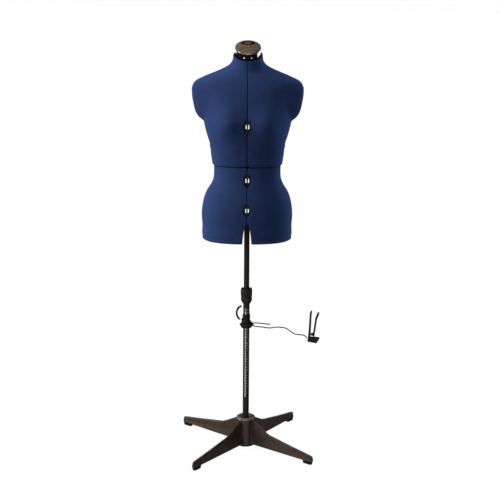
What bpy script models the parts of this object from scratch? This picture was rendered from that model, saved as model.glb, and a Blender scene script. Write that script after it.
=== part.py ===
"""Adjustable dress form on a four-legged stand, with a hem marker on the pole.

Metres, +Z up.  The form faces -Y, so its own left side is at +X.  The origin is
on the floor, under the middle of the pole.  Every moving piece hangs from an
empty that stands on the axis of its joint.
"""
import math

import bmesh
import bpy
import numpy as np
from mathutils import Matrix, Vector

CLEARANCE = 0.0003          # gap that touching pieces keep

# ---- stand ---------------------------------------------------------------
LEG_AZIMUTHS = (-37.6, 52.4, 142.4, 232.4)     # degrees from +X
LEG_NAMES = ("front_left", "back_left", "back_right", "front_right")
LEG_TIP = 0.291
LEG_KNEE = (0.101, 0.061)
LEG_UNDERSIDE = 0.0103
LEG_WIDTHS = (0.013, 0.008)    # half width of the foot of the section at hub and tip
LEG_TOP_HALF_WIDTH = 0.0035
FOOT_HEIGHT = 0.010
HUB_RADIUS = 0.033
HUB_HEIGHT = 0.098
HUB_COLLAR_TOP = 0.105

# ---- pole ----------------------------------------------------------------
OUTER_TUBE_RADIUS = 0.0111
OUTER_TUBE_BORE = 0.0099
OUTER_TUBE_SPAN = (0.012, 0.5485)
INNER_TUBE_RADIUS = 0.0095
INNER_TUBE_BORE = 0.0083
INNER_TUBE_SPAN = (0.270, 1.145)
SOCKET_SPAN = (0.525, 0.551)
NUT_SPAN = (0.5525, 0.581)
NUT_RADIUS = 0.0200
NUT_LOBES = 8

# ---- torso surface -------------------------------------------------------
HALF_GAP = 0.0013           # half of the slit between two neighbouring panels
COVER_THICKNESS = 0.0022
SHELL_THICKNESS = 0.0030
COLLAR_TILT = 23.0

# height, half width of the trunk, width that the arm stub adds, front depth,
# back depth, squareness of the section, forward tilt in degrees
UPPER_RINGS = (
    (1.0190, 0.1180, 0.0000, 0.0850, 0.0930, 2.45, 0.0),
    (1.0500, 0.1225, 0.0000, 0.0885, 0.0965, 2.45, 0.0),
    (1.0850, 0.1262, 0.0000, 0.0945, 0.1000, 2.40, 0.0),
    (1.1180, 0.1362, 0.0000, 0.1005, 0.1035, 2.35, 0.0),
    (1.1480, 0.1440, 0.0000, 0.1050, 0.1060, 2.30, 0.0),
    (1.1640, 0.1475, 0.0010, 0.1050, 0.1075, 2.30, 0.0),
    (1.1760, 0.1490, 0.0140, 0.1035, 0.1085, 2.30, 0.0),
    (1.1900, 0.1500, 0.0225, 0.1010, 0.1090, 2.30, 0.0),
    (1.2200, 0.1530, 0.0280, 0.0950, 0.1085, 2.30, 0.0),
    (1.2550, 0.1580, 0.0280, 0.0860, 0.1030, 2.30, 0.0),
    (1.2790, 0.1640, 0.0200, 0.0780, 0.0950, 2.30, 1.5),
    (1.2950, 0.1640, 0.0080, 0.0710, 0.0860, 2.25, 3.0),
    (1.3080, 0.1450, 0.0000, 0.0650, 0.0765, 2.20, 5.0),
    (1.3190, 0.1160, 0.0000, 0.0600, 0.0680, 2.15, 8.0),
    (1.3290, 0.0900, 0.0000, 0.0555, 0.0610, 2.10, 11.0),
    (1.3400, 0.0675, 0.0000, 0.0515, 0.0550, 2.05, 16.0),
    (1.3530, 0.0550, 0.0000, 0.0490, 0.0510, 2.00, 19.0),
    (1.3800, 0.0485, 0.0000, 0.0475, 0.0475, 2.00, COLLAR_TILT),
)
LOWER_RINGS = (
    (0.7560, 0.1400, 0.0000, 0.0900, 0.1180, 2.35, 0.0),
    (0.7600, 0.1485, 0.0000, 0.0980, 0.1265, 2.35, 0.0),
    (0.7720, 0.1520, 0.0000, 0.1010, 0.1300, 2.35, 0.0),
    (0.8100, 0.1525, 0.0000, 0.1035, 0.1330, 2.35, 0.0),
    (0.8450, 0.1545, 0.0000, 0.1060, 0.1330, 2.35, 0.0),
    (0.8750, 0.1520, 0.0000, 0.1060, 0.1280, 2.35, 0.0),
    (0.9030, 0.1460, 0.0000, 0.1045, 0.1200, 2.35, 0.0),
    (0.9240, 0.1375, 0.0000, 0.1005, 0.1115, 2.35, 0.0),
    (0.9450, 0.1240, 0.0000, 0.0950, 0.1030, 2.40, 0.0),
    (0.9650, 0.1155, 0.0000, 0.0890, 0.0960, 2.40, 0.0),
    (0.9880, 0.1125, 0.0000, 0.0845, 0.0905, 2.45, 0.0),
    (1.0140, 0.1128, 0.0000, 0.0825, 0.0880, 2.45, 0.0),
)
STUB_CENTRE = 1.232         # the arm stub's oval end plate
STUB_HALF_HEIGHT = 0.085
STUB_HALF_DEPTH = 0.050
BUST_CENTRE = (0.072, 1.163)
BUST_SPREAD = (0.044, 0.048)
BUST_HEIGHT = 0.020
SEAT_CENTRE = (0.070, 0.830)
SEAT_SPREAD = (0.050, 0.055)
SEAT_HEIGHT = 0.006
PANEL_COLUMNS = 6           # facets across one quarter panel
PANEL_ROWS = {              # heights between which a panel's facets run
    "upper": (1.019, 1.085, 1.148, 1.164, 1.176, 1.190, 1.235, 1.275, 1.295, 1.308, 1.319, 1.330,
              1.341, 1.355, 1.380),
    "lower": (0.756, 0.760, 0.772, 0.845, 0.880, 0.905, 0.925, 0.945, 0.965, 1.014),
}
NOTCH_HALF_WIDTH = 0.0155   # arch cut at the hem, front and back
NOTCH_TOP = 0.829

# ---- adjusting wheels ----------------------------------------------------
WHEEL_RADIUS = 0.0148
WHEEL_HALF_WIDTH = 0.00635
SPINDLE_RADIUS = 0.0030
SPINDLE_BORE = 0.0036
SPINDLE_HALF_LENGTH = 0.042
WHEEL_DEPTHS = {"front": 0.0165, "back": 0.0165, "left": 0.0200, "right": 0.0200}
WHEEL_HEIGHTS = {
    "bust": {"front": 1.154, "back": 1.154, "left": 1.092, "right": 1.092},
    "waist": {"front": 0.973, "back": 0.973, "left": 0.973, "right": 0.973},
    "hip": {"front": 0.875, "back": 0.875, "left": 0.822, "right": 0.822},
}
WINDOW = (0.0118, 0.0207)   # half width and half height of the opening in the panels
CUP = (0.0112, 0.0201)
CUP_WALL = 0.0016
CUP_FLOOR = 0.0020
NUT_BLOCK = (0.0128, 0.0265)
NUT_BLOCK_HALF_HEIGHT = 0.008
NUT_BLOCK_DEPTHS = (0.0040, 0.0260)

# ---- frame inside the torso ----------------------------------------------
ARM_LEVELS = {"upper": 1.058, "lower": 0.925}
ARM_HALF = 0.005
SLEEVE_HALF = 0.0075
SLEEVE_LENGTH = 0.056
SLEEVE_WALL = 0.004
STRAP_DEPTHS = (0.0105, 0.0140)
STRAP_HALF_WIDTH = 0.0080
SPIDER_RADIUS = 0.0140
NECK_POST_RADIUS = 0.0090
NECK_POST_TOP = 1.365

# ---- neck ----------------------------------------------------------------
CAP_CENTRE = (0.0, -0.0100, 1.4075)
CAP_TILT = 28.0
CAP_RADIUS = 0.0430
CAP_THICKNESS = 0.0080
# the stem's rings from the bottom up: Y and Z of the middle, tilt, radius
STEM_RINGS = (
    (0.0000, 1.3400, 12.0, 0.0385),
    (0.0000, 1.3500, 18.0, 0.0400),
    (0.0008, 1.3680, 24.0, 0.0405),
    (0.0000, 1.3880, CAP_TILT, 0.0410),
    (-0.0056, 1.3991, CAP_TILT, 0.0412),
    (-0.0061, 1.4000, CAP_TILT, 0.0402),
)

# ---- hem marker ----------------------------------------------------------
SLIDER_SPAN = (0.438, 0.487)
SLIDER_BORE = 0.0115
SLIDER_RADIUS = 0.0135
RING_SPAN = (0.4425, 0.4572)
RING_BORE = 0.0139
RING_RADIUS = 0.0182
LEVER_PIVOT = (-0.0215, 0.4660)
JAW_PIVOT = (0.2302, 0.4130)
WIRE_RADIUS = 0.0015

SIDES = {"front": (0.0, -1.0), "back": (0.0, 1.0), "left": (1.0, 0.0), "right": (-1.0, 0.0)}
QUARTERS = (("front", "left"), ("front", "right"), ("back", "left"), ("back", "right"))


# ==== scene helpers =======================================================
def clear_scene():
    for obj in list(bpy.data.objects):
        bpy.data.objects.remove(obj, do_unlink=True)


def make_material(name, colour, roughness, metallic=0.0):
    mat = bpy.data.materials.new(name)
    mat.use_nodes = True
    shader = mat.node_tree.nodes["Principled BSDF"]
    shader.inputs["Base Color"].default_value = (*colour, 1.0)
    shader.inputs["Roughness"].default_value = roughness
    shader.inputs["Metallic"].default_value = metallic
    mat.diffuse_color = (*colour, 1.0)
    return mat


def make_pivot(name, at, parent=None):
    """An empty on a joint's axis; it keeps its world position in a property."""
    pivot = bpy.data.objects.new(name, None)
    pivot.empty_display_size = 0.03
    bpy.context.collection.objects.link(pivot)
    pivot["world"] = tuple(at)
    hang(pivot, parent, Vector(at))
    return pivot


def hang(obj, parent, at):
    base = Vector(parent["world"]) if parent else Vector()
    obj.parent = parent
    obj.location = at - base


def add_node(name, bm, mat, parent, smooth=True):
    """Turn a bmesh in world coordinates into an object with its origin at the parent."""
    at = Vector(parent["world"]) if parent else Vector()
    bmesh.ops.translate(bm, verts=bm.verts, vec=-at)
    bmesh.ops.recalc_face_normals(bm, faces=bm.faces)
    mesh = bpy.data.meshes.new(name)
    bm.to_mesh(mesh)
    bm.free()
    obj = bpy.data.objects.new(name, mesh)
    bpy.context.collection.objects.link(obj)
    hang(obj, parent, at)
    mesh.materials.append(mat)
    if smooth:
        mesh.shade_smooth()
        mesh.set_sharp_from_angle(angle=math.radians(35))
    return obj


def add_tool(name, bm):
    """A cutting or joining body that is not part of the object itself."""
    bmesh.ops.recalc_face_normals(bm, faces=bm.faces)
    mesh = bpy.data.meshes.new(name)
    bm.to_mesh(mesh)
    bm.free()
    tool = bpy.data.objects.new(name, mesh)
    tool.hide_render = True
    tool.display_type = "WIRE"
    bpy.context.collection.objects.link(tool)
    return tool


def combine(obj, tool, operation):
    modifier = obj.modifiers.new(tool.name, "BOOLEAN")
    modifier.operation = operation
    modifier.object = tool


# ==== bmesh shapes ========================================================
def turned(profile, segments=16, lobes=None):
    """Spin (radius, height) points about Z.  A closed outline leaves a bore."""
    bm = bmesh.new()
    bored = profile[0][0] > 0
    rings = []
    for radius, height in profile:
        if radius == 0:
            rings.append([bm.verts.new((0, 0, height))] * segments)
            continue
        ring = []
        for k in range(segments):
            angle = 2 * math.pi * k / segments
            r = radius * lobes(k) if lobes and radius > 0.9 * NUT_RADIUS else radius
            ring.append(bm.verts.new((r * math.cos(angle), r * math.sin(angle), height)))
        rings.append(ring)
    pairs = list(zip(rings, rings[1:])) + ([(rings[-1], rings[0])] if bored else [])
    for low, high in pairs:
        for k in range(segments):
            n = (k + 1) % segments
            corners = [low[k], low[n], high[n], high[k]]
            bm.faces.new(list(dict.fromkeys(corners)))
    return bm


def moved(bm, matrix):
    bmesh.ops.transform(bm, matrix=matrix, verts=bm.verts)
    return bm


def along_x():
    return Matrix.Rotation(math.pi / 2, 4, "Y")


def shifted(at):
    return Matrix.Translation(at)


def cuboid(low, high):
    bm = bmesh.new()
    size = [h - l for l, h in zip(low, high)]
    centre = [(h + l) / 2 for l, h in zip(low, high)]
    bmesh.ops.create_cube(bm, size=1.0, matrix=shifted(centre) @ Matrix.Diagonal((*size, 1)))
    return bm


def extruded_xz(outline, y_low, y_high):
    """A plate: an outline of (x, z) points given a thickness along Y."""
    bm = bmesh.new()
    front = [bm.verts.new((x, y_low, z)) for x, z in outline]
    back = [bm.verts.new((x, y_high, z)) for x, z in outline]
    bm.faces.new(front)
    bm.faces.new(back[::-1])
    for k in range(len(outline)):
        n = (k + 1) % len(outline)
        bm.faces.new((front[k], back[k], back[n], front[n]))
    return bm


def lofted(sections, closed=False):
    """Skin a list of closed loops; the end loops are capped unless it is closed."""
    bm = bmesh.new()
    loops = [[bm.verts.new(p) for p in section] for section in sections]
    pairs = list(zip(loops, loops[1:])) + ([(loops[-1], loops[0])] if closed else [])
    for a, b in pairs:
        for k in range(len(a)):
            n = (k + 1) % len(a)
            bm.faces.new((a[k], a[n], b[n], b[k]))
    if not closed:
        bm.faces.new(loops[0][::-1])
        bm.faces.new(loops[-1])
    return bm


def slot_bar(half_width, half_height, low, high, steps=6):
    """A bar along Z with a round-ended slot for its section, tall along Y."""
    rise = half_height - half_width
    arc = [math.pi * k / steps for k in range(steps + 1)]
    outline = [(half_width * math.cos(a), rise + half_width * math.sin(a)) for a in arc]
    outline += [(-x, -y) for x, y in outline]
    return lofted([[(x, y, level) for x, y in outline] for level in (low, high)])


# ==== torso surface =======================================================
def ring_at(rings, height):
    """The section at a height, read from the ring table with a smooth curve."""
    table = np.array(rings)
    z = table[:, 0]
    slopes = np.gradient(table, z, axis=0)
    k = int(np.clip(np.searchsorted(z, height) - 1, 0, len(z) - 2))
    step = z[k + 1] - z[k]
    t = (height - z[k]) / step
    h00 = (1 + 2 * t) * (1 - t) ** 2
    h10 = t * (1 - t) ** 2
    h01 = t * t * (3 - 2 * t)
    h11 = t * t * (t - 1)
    row = (h00 * table[k] + h10 * step * slopes[k]
           + h01 * table[k + 1] + h11 * step * slopes[k + 1])
    return [height, *row[1:]]


def swell(x, z, centre, spread, height):
    return height * math.exp(-((x - centre[0]) / spread[0]) ** 2 - ((z - centre[1]) / spread[1]) ** 2)


def stub_profile(y, z):
    """How far the arm stub stands out, as a share of its full width."""
    level = (z - STUB_CENTRE) / STUB_HALF_HEIGHT
    depth = STUB_HALF_DEPTH * math.sqrt(max(0.0, 1 - level * level))
    edge = abs(y) / max(depth, 1e-6)
    t = min(max((edge - 0.55) / 0.75, 0.0), 1.0)
    return 1 - t * t * (3 - 2 * t)


def torso_point(rings, facing, turn, height):
    """A point of the left half; turn runs from 0 at the side to 1 at the middle."""
    z, width, stub, front, back, square, tilt = ring_at(rings, height)
    depth = front if facing == "front" else back
    c, s = math.cos(turn * math.pi / 2), math.sin(turn * math.pi / 2)
    scale = (abs(c) ** square + abs(s) ** square) ** (-1 / square)
    x = HALF_GAP + (width - HALF_GAP) * c * scale
    y = HALF_GAP + (depth - HALF_GAP) * s * scale
    x += stub * stub_profile(y, z)
    if facing == "front":
        y += swell(x, z, BUST_CENTRE, BUST_SPREAD, BUST_HEIGHT) * s
    else:
        y += swell(x, z, SEAT_CENTRE, SEAT_SPREAD, SEAT_HEIGHT) * s
    sign = -1 if facing == "front" else 1
    lean = math.radians(tilt)
    return np.array((x, sign * y * math.cos(lean), z + sign * y * math.sin(lean)))


def torso_normal(rings, facing, turn, height):
    step = 0.002
    t0, t1 = max(turn - step, 0), min(turn + step, 1)
    z0, z1 = max(height - step, rings[0][0]), min(height + step, rings[-1][0])
    across = torso_point(rings, facing, t1, height) - torso_point(rings, facing, t0, height)
    upward = torso_point(rings, facing, turn, z1) - torso_point(rings, facing, turn, z0)
    normal = np.cross(upward, across) if facing == "front" else np.cross(across, upward)
    return normal / np.linalg.norm(normal)


def under_surface(rings, facing, turn, height, depth):
    """A point below the outer face of the cover, on the surface's normal."""
    normal = torso_normal(rings, facing, turn, height)
    if turn <= 0:
        normal[1] = 0
    if turn >= 1:
        normal[0] = 0
    normal /= np.linalg.norm(normal)
    return torso_point(rings, facing, turn, height) - depth * normal


def panel_layer(rings, facing, side, outer, inner, turns, heights):
    """One closed curved plate between two depths under the torso's surface."""
    flip = 1 if side == "left" else -1
    bm = bmesh.new()
    layers = []
    for depth in (outer, inner):
        rows = []
        for z in heights:
            points = [under_surface(rings, facing, t, z, depth) for t in turns]
            rows.append([bm.verts.new((flip * p[0], p[1], p[2])) for p in points])
        layers.append(rows)
    top, low = layers
    last_row, last_column = len(heights) - 1, len(turns) - 1
    for r in range(last_row):
        for c in range(last_column):
            for rows in layers:
                bm.faces.new((rows[r][c], rows[r][c + 1], rows[r + 1][c + 1]))
                bm.faces.new((rows[r][c], rows[r + 1][c + 1], rows[r + 1][c]))
    for c in range(last_column):
        for r in (0, last_row):
            bm.faces.new((top[r][c], low[r][c], low[r][c + 1], top[r][c + 1]))
    for r in range(last_row):
        for c in (0, last_column):
            bm.faces.new((top[r][c], top[r + 1][c], low[r + 1][c], low[r][c]))
    return bm


def surface_reach(rings, side, height):
    """How far the torso's outer face is from the pole on one of its four sides."""
    if side in ("left", "right"):
        return torso_point(rings, "front", 0.0, height)[0]
    return abs(torso_point(rings, side, 1.0, height)[1])


# ==== pieces: stand =======================================================
def build_stand(root, mats):
    bore = OUTER_TUBE_RADIUS + CLEARANCE
    hub = turned([(0, 0), (0.030, 0), (HUB_RADIUS, 0.003), (HUB_RADIUS, HUB_HEIGHT),
                  (bore, HUB_HEIGHT), (bore, OUTER_TUBE_SPAN[0] - CLEARANCE),
                  (0, OUTER_TUBE_SPAN[0] - CLEARANCE)], 24)
    add_node("base_hub", hub, mats["base"], root)
    low = HUB_HEIGHT + CLEARANCE
    collar = turned([(bore, low), (HUB_RADIUS, low), (HUB_RADIUS, 0.1030), (0.0312, HUB_COLLAR_TOP),
                     (0.0215, HUB_COLLAR_TOP), (0.0170, 0.1010), (bore, 0.1010)], 24)
    add_node("hub_collar", collar, mats["collar"], root)
    for name, azimuth in zip(LEG_NAMES, LEG_AZIMUTHS):
        place = Matrix.Rotation(math.radians(azimuth), 4, "Z")
        add_node(f"leg_{name}", moved(leg_shape(), place), mats["base"], root)
        add_node(f"foot_{name}", moved(foot_shape(), place), mats["rubber"], root)


def leg_shape():
    """A tapered blade along +X: high at the hub, low and slim past the knee."""
    root_x = HUB_RADIUS + CLEARANCE
    stations = ((root_x, 0.096), (LEG_KNEE[0] - 0.012, 0.0665), (LEG_KNEE[0], LEG_KNEE[1]),
                (LEG_KNEE[0] + 0.015, 0.0580), (0.200, 0.0440), (LEG_TIP - 0.008, 0.0315),
                (LEG_TIP - 0.002, 0.0290), (LEG_TIP, 0.0250))
    sections = []
    for x, top in stations:
        share = (x - root_x) / (LEG_TIP - root_x)
        foot = LEG_WIDTHS[0] + (LEG_WIDTHS[1] - LEG_WIDTHS[0]) * share
        ridge = LEG_TOP_HALF_WIDTH
        shoulder = top - 0.0035
        sections.append([(x, -foot, LEG_UNDERSIDE), (x, foot, LEG_UNDERSIDE),
                         (x, ridge + 0.0020, shoulder), (x, ridge, top),
                         (x, -ridge, top), (x, -ridge - 0.0020, shoulder)])
    return lofted(sections)


def foot_shape():
    """A rounded pad under the tip of a leg."""
    centre, reach, half = LEG_TIP - 0.020, 0.0115, 0.0078
    turn = [math.pi * k / 6 - math.pi / 2 for k in range(7)]
    outline = [(centre + reach + half * math.cos(a), half * math.sin(a)) for a in turn]
    outline += [(centre - reach - half * math.cos(a), -half * math.sin(a)) for a in turn]
    draft = 0.92
    low = [(centre + (x - centre) * draft, y * draft, 0.0) for x, y in outline]
    high = [(x, y, FOOT_HEIGHT) for x, y in outline]
    return lofted([low, high])


# ==== pieces: pole ========================================================
def build_pole(root, nut_pivot, column_pivot, mats):
    add_node("outer_tube", tube(OUTER_TUBE_SPAN, OUTER_TUBE_BORE, OUTER_TUBE_RADIUS), mats["pole"], root)
    add_node("inner_tube", tube(INNER_TUBE_SPAN, INNER_TUBE_BORE, INNER_TUBE_RADIUS), mats["pole"],
             column_pivot)
    bottom, top = SOCKET_SPAN
    bore = OUTER_TUBE_RADIUS + CLEARANCE
    throat = INNER_TUBE_RADIUS + 0.0005
    socket = turned([(bore, bottom), (0.0138, bottom), (0.0185, bottom + 0.009),
                     (0.0193, bottom + 0.014), (0.0193, top - 0.003), (0.0180, top),
                     (0.0150, top), (0.0150, 0.5720), (throat, 0.5720),
                     (throat, OUTER_TUBE_SPAN[1] + CLEARANCE), (bore, OUTER_TUBE_SPAN[1] + CLEARANCE)])
    add_node("lock_socket", socket, mats["lock"], root)
    low, high = NUT_SPAN
    nut = turned([(0.0155, low), (0.0180, low), (NUT_RADIUS, low + 0.003), (NUT_RADIUS, high - 0.006),
                  (0.0186, high), (0.0158, high), (0.0145, high - 0.004), (throat, high - 0.004),
                  (throat, 0.5735), (0.0155, 0.5735)], 3 * NUT_LOBES, lobes=grip_lobe)
    add_node("lock_nut", nut, mats["lock"], nut_pivot)


def grip_lobe(k):
    return 1.0 if k % 3 < 2 else 0.92


def tube(span, bore, radius, segments=20):
    low, high = span
    return turned([(bore, low), (radius, low), (radius, high), (bore, high)], segments)


# ==== pieces: frame inside the torso ======================================
def sleeve_end(level, side):
    rings = UPPER_RINGS if level == "upper" else LOWER_RINGS
    return surface_reach(rings, side, ARM_LEVELS[level]) - STRAP_DEPTHS[1] + 0.001


def arm_box(level, side, half, start, end):
    """A square bar from the pole outwards on one side, as two corners."""
    dx, dy = SIDES[side]
    height = ARM_LEVELS[level]
    near = (start * dx - half * abs(dy), start * dy - half * abs(dx))
    far = (end * dx + half * abs(dy), end * dy + half * abs(dx))
    low = (min(near[0], far[0]), min(near[1], far[1]), height - half)
    high = (max(near[0], far[0]), max(near[1], far[1]), height + half)
    return low, high


def build_spider(level, pivot, mats):
    """The hub on the inner tube with its four arms; the upper one carries the neck."""
    height = ARM_LEVELS[level]
    bore = INNER_TUBE_RADIUS + 0.0004
    if level == "upper":
        roof = INNER_TUBE_SPAN[1] + 0.004
        profile = [(bore, height - 0.026), (SPIDER_RADIUS, height - 0.026), (SPIDER_RADIUS, roof + 0.004),
                   (NECK_POST_RADIUS, roof + 0.012), (NECK_POST_RADIUS, NECK_POST_TOP),
                   (0, NECK_POST_TOP), (0, roof), (bore, roof)]
        hub = turned_from_axis(profile)
    else:
        hub = tube((height - 0.024, height + 0.024), bore, SPIDER_RADIUS)
    node = add_node(f"{level}_spider", hub, mats["frame"], pivot)
    for side in SIDES:
        box = arm_box(level, side, ARM_HALF, bore + 0.001, sleeve_end(level, side) - SLEEVE_WALL - 0.002)
        combine(node, add_tool(f"{level}_{side}_arm", cuboid(*box)), "UNION")


def turned_from_axis(profile, segments=16):
    """A turned body that is solid at its top and hollow below."""
    bm = bmesh.new()
    rings = []
    for radius, height in profile:
        if radius == 0:
            rings.append([bm.verts.new((0, 0, height))] * segments)
        else:
            turn = [2 * math.pi * k / segments for k in range(segments)]
            rings.append([bm.verts.new((radius * math.cos(a), radius * math.sin(a), height)) for a in turn])
    axis_top, axis_low = [k for k, point in enumerate(profile) if point[0] == 0]
    for k in range(len(rings)):
        n = (k + 1) % len(rings)
        if (k, n) == (axis_top, axis_low):
            continue
        for j in range(segments):
            m = (j + 1) % segments
            corners = [rings[k][j], rings[k][m], rings[n][m], rings[n][j]]
            bm.faces.new(list(dict.fromkeys(corners)))
    return bm


def side_frame(side, reach, height):
    """Local axes of a side: X across the gap, Y up, Z outwards, at a reach from the pole."""
    dx, dy = SIDES[side]
    across = Vector((-dy, dx, 0))
    outward = Vector((dx, dy, 0))
    frame = Matrix((across, Vector((0, 0, 1)), outward)).transposed().to_4x4()
    return shifted(outward * reach + Vector((0, 0, height))) @ frame


def wheels_of(level):
    return ("bust",) if level == "upper" else ("waist", "hip")


def rings_of(level):
    return UPPER_RINGS if level == "upper" else LOWER_RINGS


def strap(level, side):
    """A strip behind the gap, from cup to cup and across the end of the sleeve."""
    heights = [WHEEL_HEIGHTS[w][side] for w in wheels_of(level)] + [ARM_LEVELS[level]]
    low, high = min(heights), max(heights)
    low = low - SLEEVE_HALF if low == ARM_LEVELS[level] else low
    steps = 8
    dx, dy = SIDES[side]
    half = STRAP_HALF_WIDTH
    sections = []
    for k in range(steps + 1):
        z = low + (high - low) * k / steps
        reach = surface_reach(rings_of(level), side, z)
        outer, inner = (reach - depth for depth in STRAP_DEPTHS)
        corners = ((outer, -half), (outer, half), (inner, half), (inner, -half))
        sections.append([(r * dx - w * dy, r * dy + w * dx, z) for r, w in corners])
    return lofted(sections)


def build_carriage(level, side, pivot, mats):
    """A sleeve on the spider's arm, a strap, and one cup for each wheel."""
    end = sleeve_end(level, side)
    node = add_node(f"{level}_{side}_carriage",
                    cuboid(*arm_box(level, side, SLEEVE_HALF, end - SLEEVE_LENGTH, end)),
                    mats["frame"], pivot, smooth=False)
    name = f"{level}_{side}"
    combine(node, add_tool(f"{name}_strap", strap(level, side)), "UNION")
    for wheel in wheels_of(level):
        height = WHEEL_HEIGHTS[wheel][side]
        reach = surface_reach(rings_of(level), side, height)
        depth = WHEEL_DEPTHS[side] + WHEEL_RADIUS + 0.0015
        frame = side_frame(side, reach, height)
        outer = moved(slot_bar(*CUP, -depth - CUP_FLOOR, -0.0005), frame)
        combine(node, add_tool(f"{name}_{wheel}_cup", outer), "UNION")
        inner = moved(slot_bar(CUP[0] - CUP_WALL, CUP[1] - CUP_WALL, -depth, 0.004), frame)
        combine(node, add_tool(f"{name}_{wheel}_hollow", inner), "DIFFERENCE")
        axle = tube_cutter(SPINDLE_BORE, -0.016, 0.016)
        place = frame @ shifted((0, 0, -WHEEL_DEPTHS[side])) @ along_x()
        combine(node, add_tool(f"{name}_{wheel}_axle_hole", moved(axle, place)), "DIFFERENCE")
    hollow = arm_box(level, side, ARM_HALF + 0.0006, end - SLEEVE_LENGTH - 0.002, end - SLEEVE_WALL)
    combine(node, add_tool(f"{name}_slot", cuboid(*hollow)), "DIFFERENCE")


def tube_cutter(radius, low, high, segments=8):
    return turned([(0, low), (radius, low), (radius, high), (0, high)], segments)


def build_wheel(wheel, level, side, pivot, mats):
    """Two knurled rims on one spindle that lies across the gap."""
    rim, groove = WHEEL_RADIUS, WHEEL_RADIUS - 0.0022
    half, lip = WHEEL_HALF_WIDTH, 0.0022
    profile = [(0, -SPINDLE_HALF_LENGTH), (SPINDLE_RADIUS, -SPINDLE_HALF_LENGTH), (SPINDLE_RADIUS, -half),
               (rim, -half), (rim, -lip), (groove, -lip), (groove, lip), (rim, lip), (rim, half),
               (SPINDLE_RADIUS, half), (SPINDLE_RADIUS, SPINDLE_HALF_LENGTH), (0, SPINDLE_HALF_LENGTH)]
    height = WHEEL_HEIGHTS[wheel][side]
    reach = surface_reach(rings_of(level), side, height)
    place = side_frame(side, reach - WHEEL_DEPTHS[side], height) @ along_x()
    add_node(f"{wheel}_{side}_wheel", moved(turned(profile, 12), place), mats["wheel"], pivot)


# ==== pieces: torso =======================================================
def turn_at_offset(rings, facing, height, offset, from_side):
    """The turn at which the surface is a given way from the side gap or the middle gap."""
    low, high = 0.0, 1.0
    for _ in range(40):
        middle = (low + high) / 2
        point = torso_point(rings, facing, middle, height)
        inside = abs(point[1]) < offset if from_side else point[0] > offset
        low, high = (middle, high) if inside else (low, middle)
    return (low + high) / 2


def nut_block(level, facing, side, wheel, at_side):
    """The threaded block behind a panel's edge that a wheel's spindle runs through."""
    rings = rings_of(level)
    place = side if at_side else facing
    middle = WHEEL_HEIGHTS[wheel][place]
    flip = 1 if side == "left" else -1
    sections = []
    for k in range(3):
        offset = NUT_BLOCK[0] + (NUT_BLOCK[1] - NUT_BLOCK[0]) * k / 2
        section = []
        for z in (middle - NUT_BLOCK_HALF_HEIGHT, middle + NUT_BLOCK_HALF_HEIGHT):
            turn = turn_at_offset(rings, facing, z, offset, at_side)
            x, y, _ = torso_point(rings, facing, turn, z)
            base = surface_reach(rings, place, middle) - NUT_BLOCK_DEPTHS[1]
            outer, inner = NUT_BLOCK_DEPTHS[0], base
            if at_side:
                pair = [(flip * (x - outer), y, z), (flip * inner, y, z)]
            else:
                sign = SIDES[facing][1]
                pair = [(flip * x, y - sign * outer, z), (flip * x, sign * inner, z)]
            section += pair if z < middle else pair[::-1]
        sections.append(section)
    return lofted(sections)


def window_cutter(level, place, wheel, depth_in):
    height = WHEEL_HEIGHTS[wheel][place]
    reach = surface_reach(rings_of(level), place, height)
    return moved(slot_bar(*WINDOW, -depth_in, 0.012), side_frame(place, reach, height))


def notch_cutter(facing):
    """The pointed arch at the bottom of the middle gap."""
    low = LOWER_RINGS[0][0] - 0.02
    sign = SIDES[facing][1]
    rise = NOTCH_TOP - low
    shape = [(NOTCH_HALF_WIDTH * math.cos(a), low + 0.02 + (rise - 0.02) * math.sin(a))
             for a in (math.pi * k / 12 for k in range(13))]
    outline = [(x * (1 - 0.15 * (z - low) / rise), z) for x, z in shape]
    outline = [(NOTCH_HALF_WIDTH, low), *outline, (-NOTCH_HALF_WIDTH, low)]
    y_low, y_high = sorted((sign * 0.03, sign * 0.20))
    return extruded_xz(outline, y_low, y_high)


def build_panel(level, facing, side, pivot, mats):
    """A quarter of the torso: a moulded shell, and the padded knit cover over it."""
    rings = rings_of(level)
    turns = [k / PANEL_COLUMNS for k in range(PANEL_COLUMNS + 1)]
    heights = PANEL_ROWS[level]
    name = f"{level}_{facing}_{side}"
    shell_top = COVER_THICKNESS + CLEARANCE
    shell = add_node(f"{name}_shell",
                     panel_layer(rings, facing, side, shell_top, shell_top + SHELL_THICKNESS, turns, heights),
                     mats["shell"], pivot)
    cover = add_node(f"{name}_cover",
                     panel_layer(rings, facing, side, 0.0, COVER_THICKNESS, turns, heights),
                     mats["cover"], pivot)
    for wheel in wheels_of(level):
        for at_side in (False, True):
            place = side if at_side else facing
            label = f"{name}_{wheel}_{place}"
            block = nut_block(level, facing, side, wheel, at_side)
            combine(shell, add_tool(f"{label}_block", block), "UNION")
            height = WHEEL_HEIGHTS[wheel][place]
            reach = surface_reach(rings, place, height) - WHEEL_DEPTHS[place]
            hole = moved(tube_cutter(SPINDLE_BORE, -0.05, 0.05), side_frame(place, reach, height) @ along_x())
            combine(shell, add_tool(f"{label}_bore", hole), "DIFFERENCE")
            window = add_tool(f"{label}_window", window_cutter(level, place, wheel, 0.012))
            combine(shell, window, "DIFFERENCE")
            combine(cover, window, "DIFFERENCE")
    if level == "lower":
        notch = add_tool(f"{name}_notch", notch_cutter(facing))
        combine(shell, notch, "DIFFERENCE")
        combine(cover, notch, "DIFFERENCE")


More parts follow.
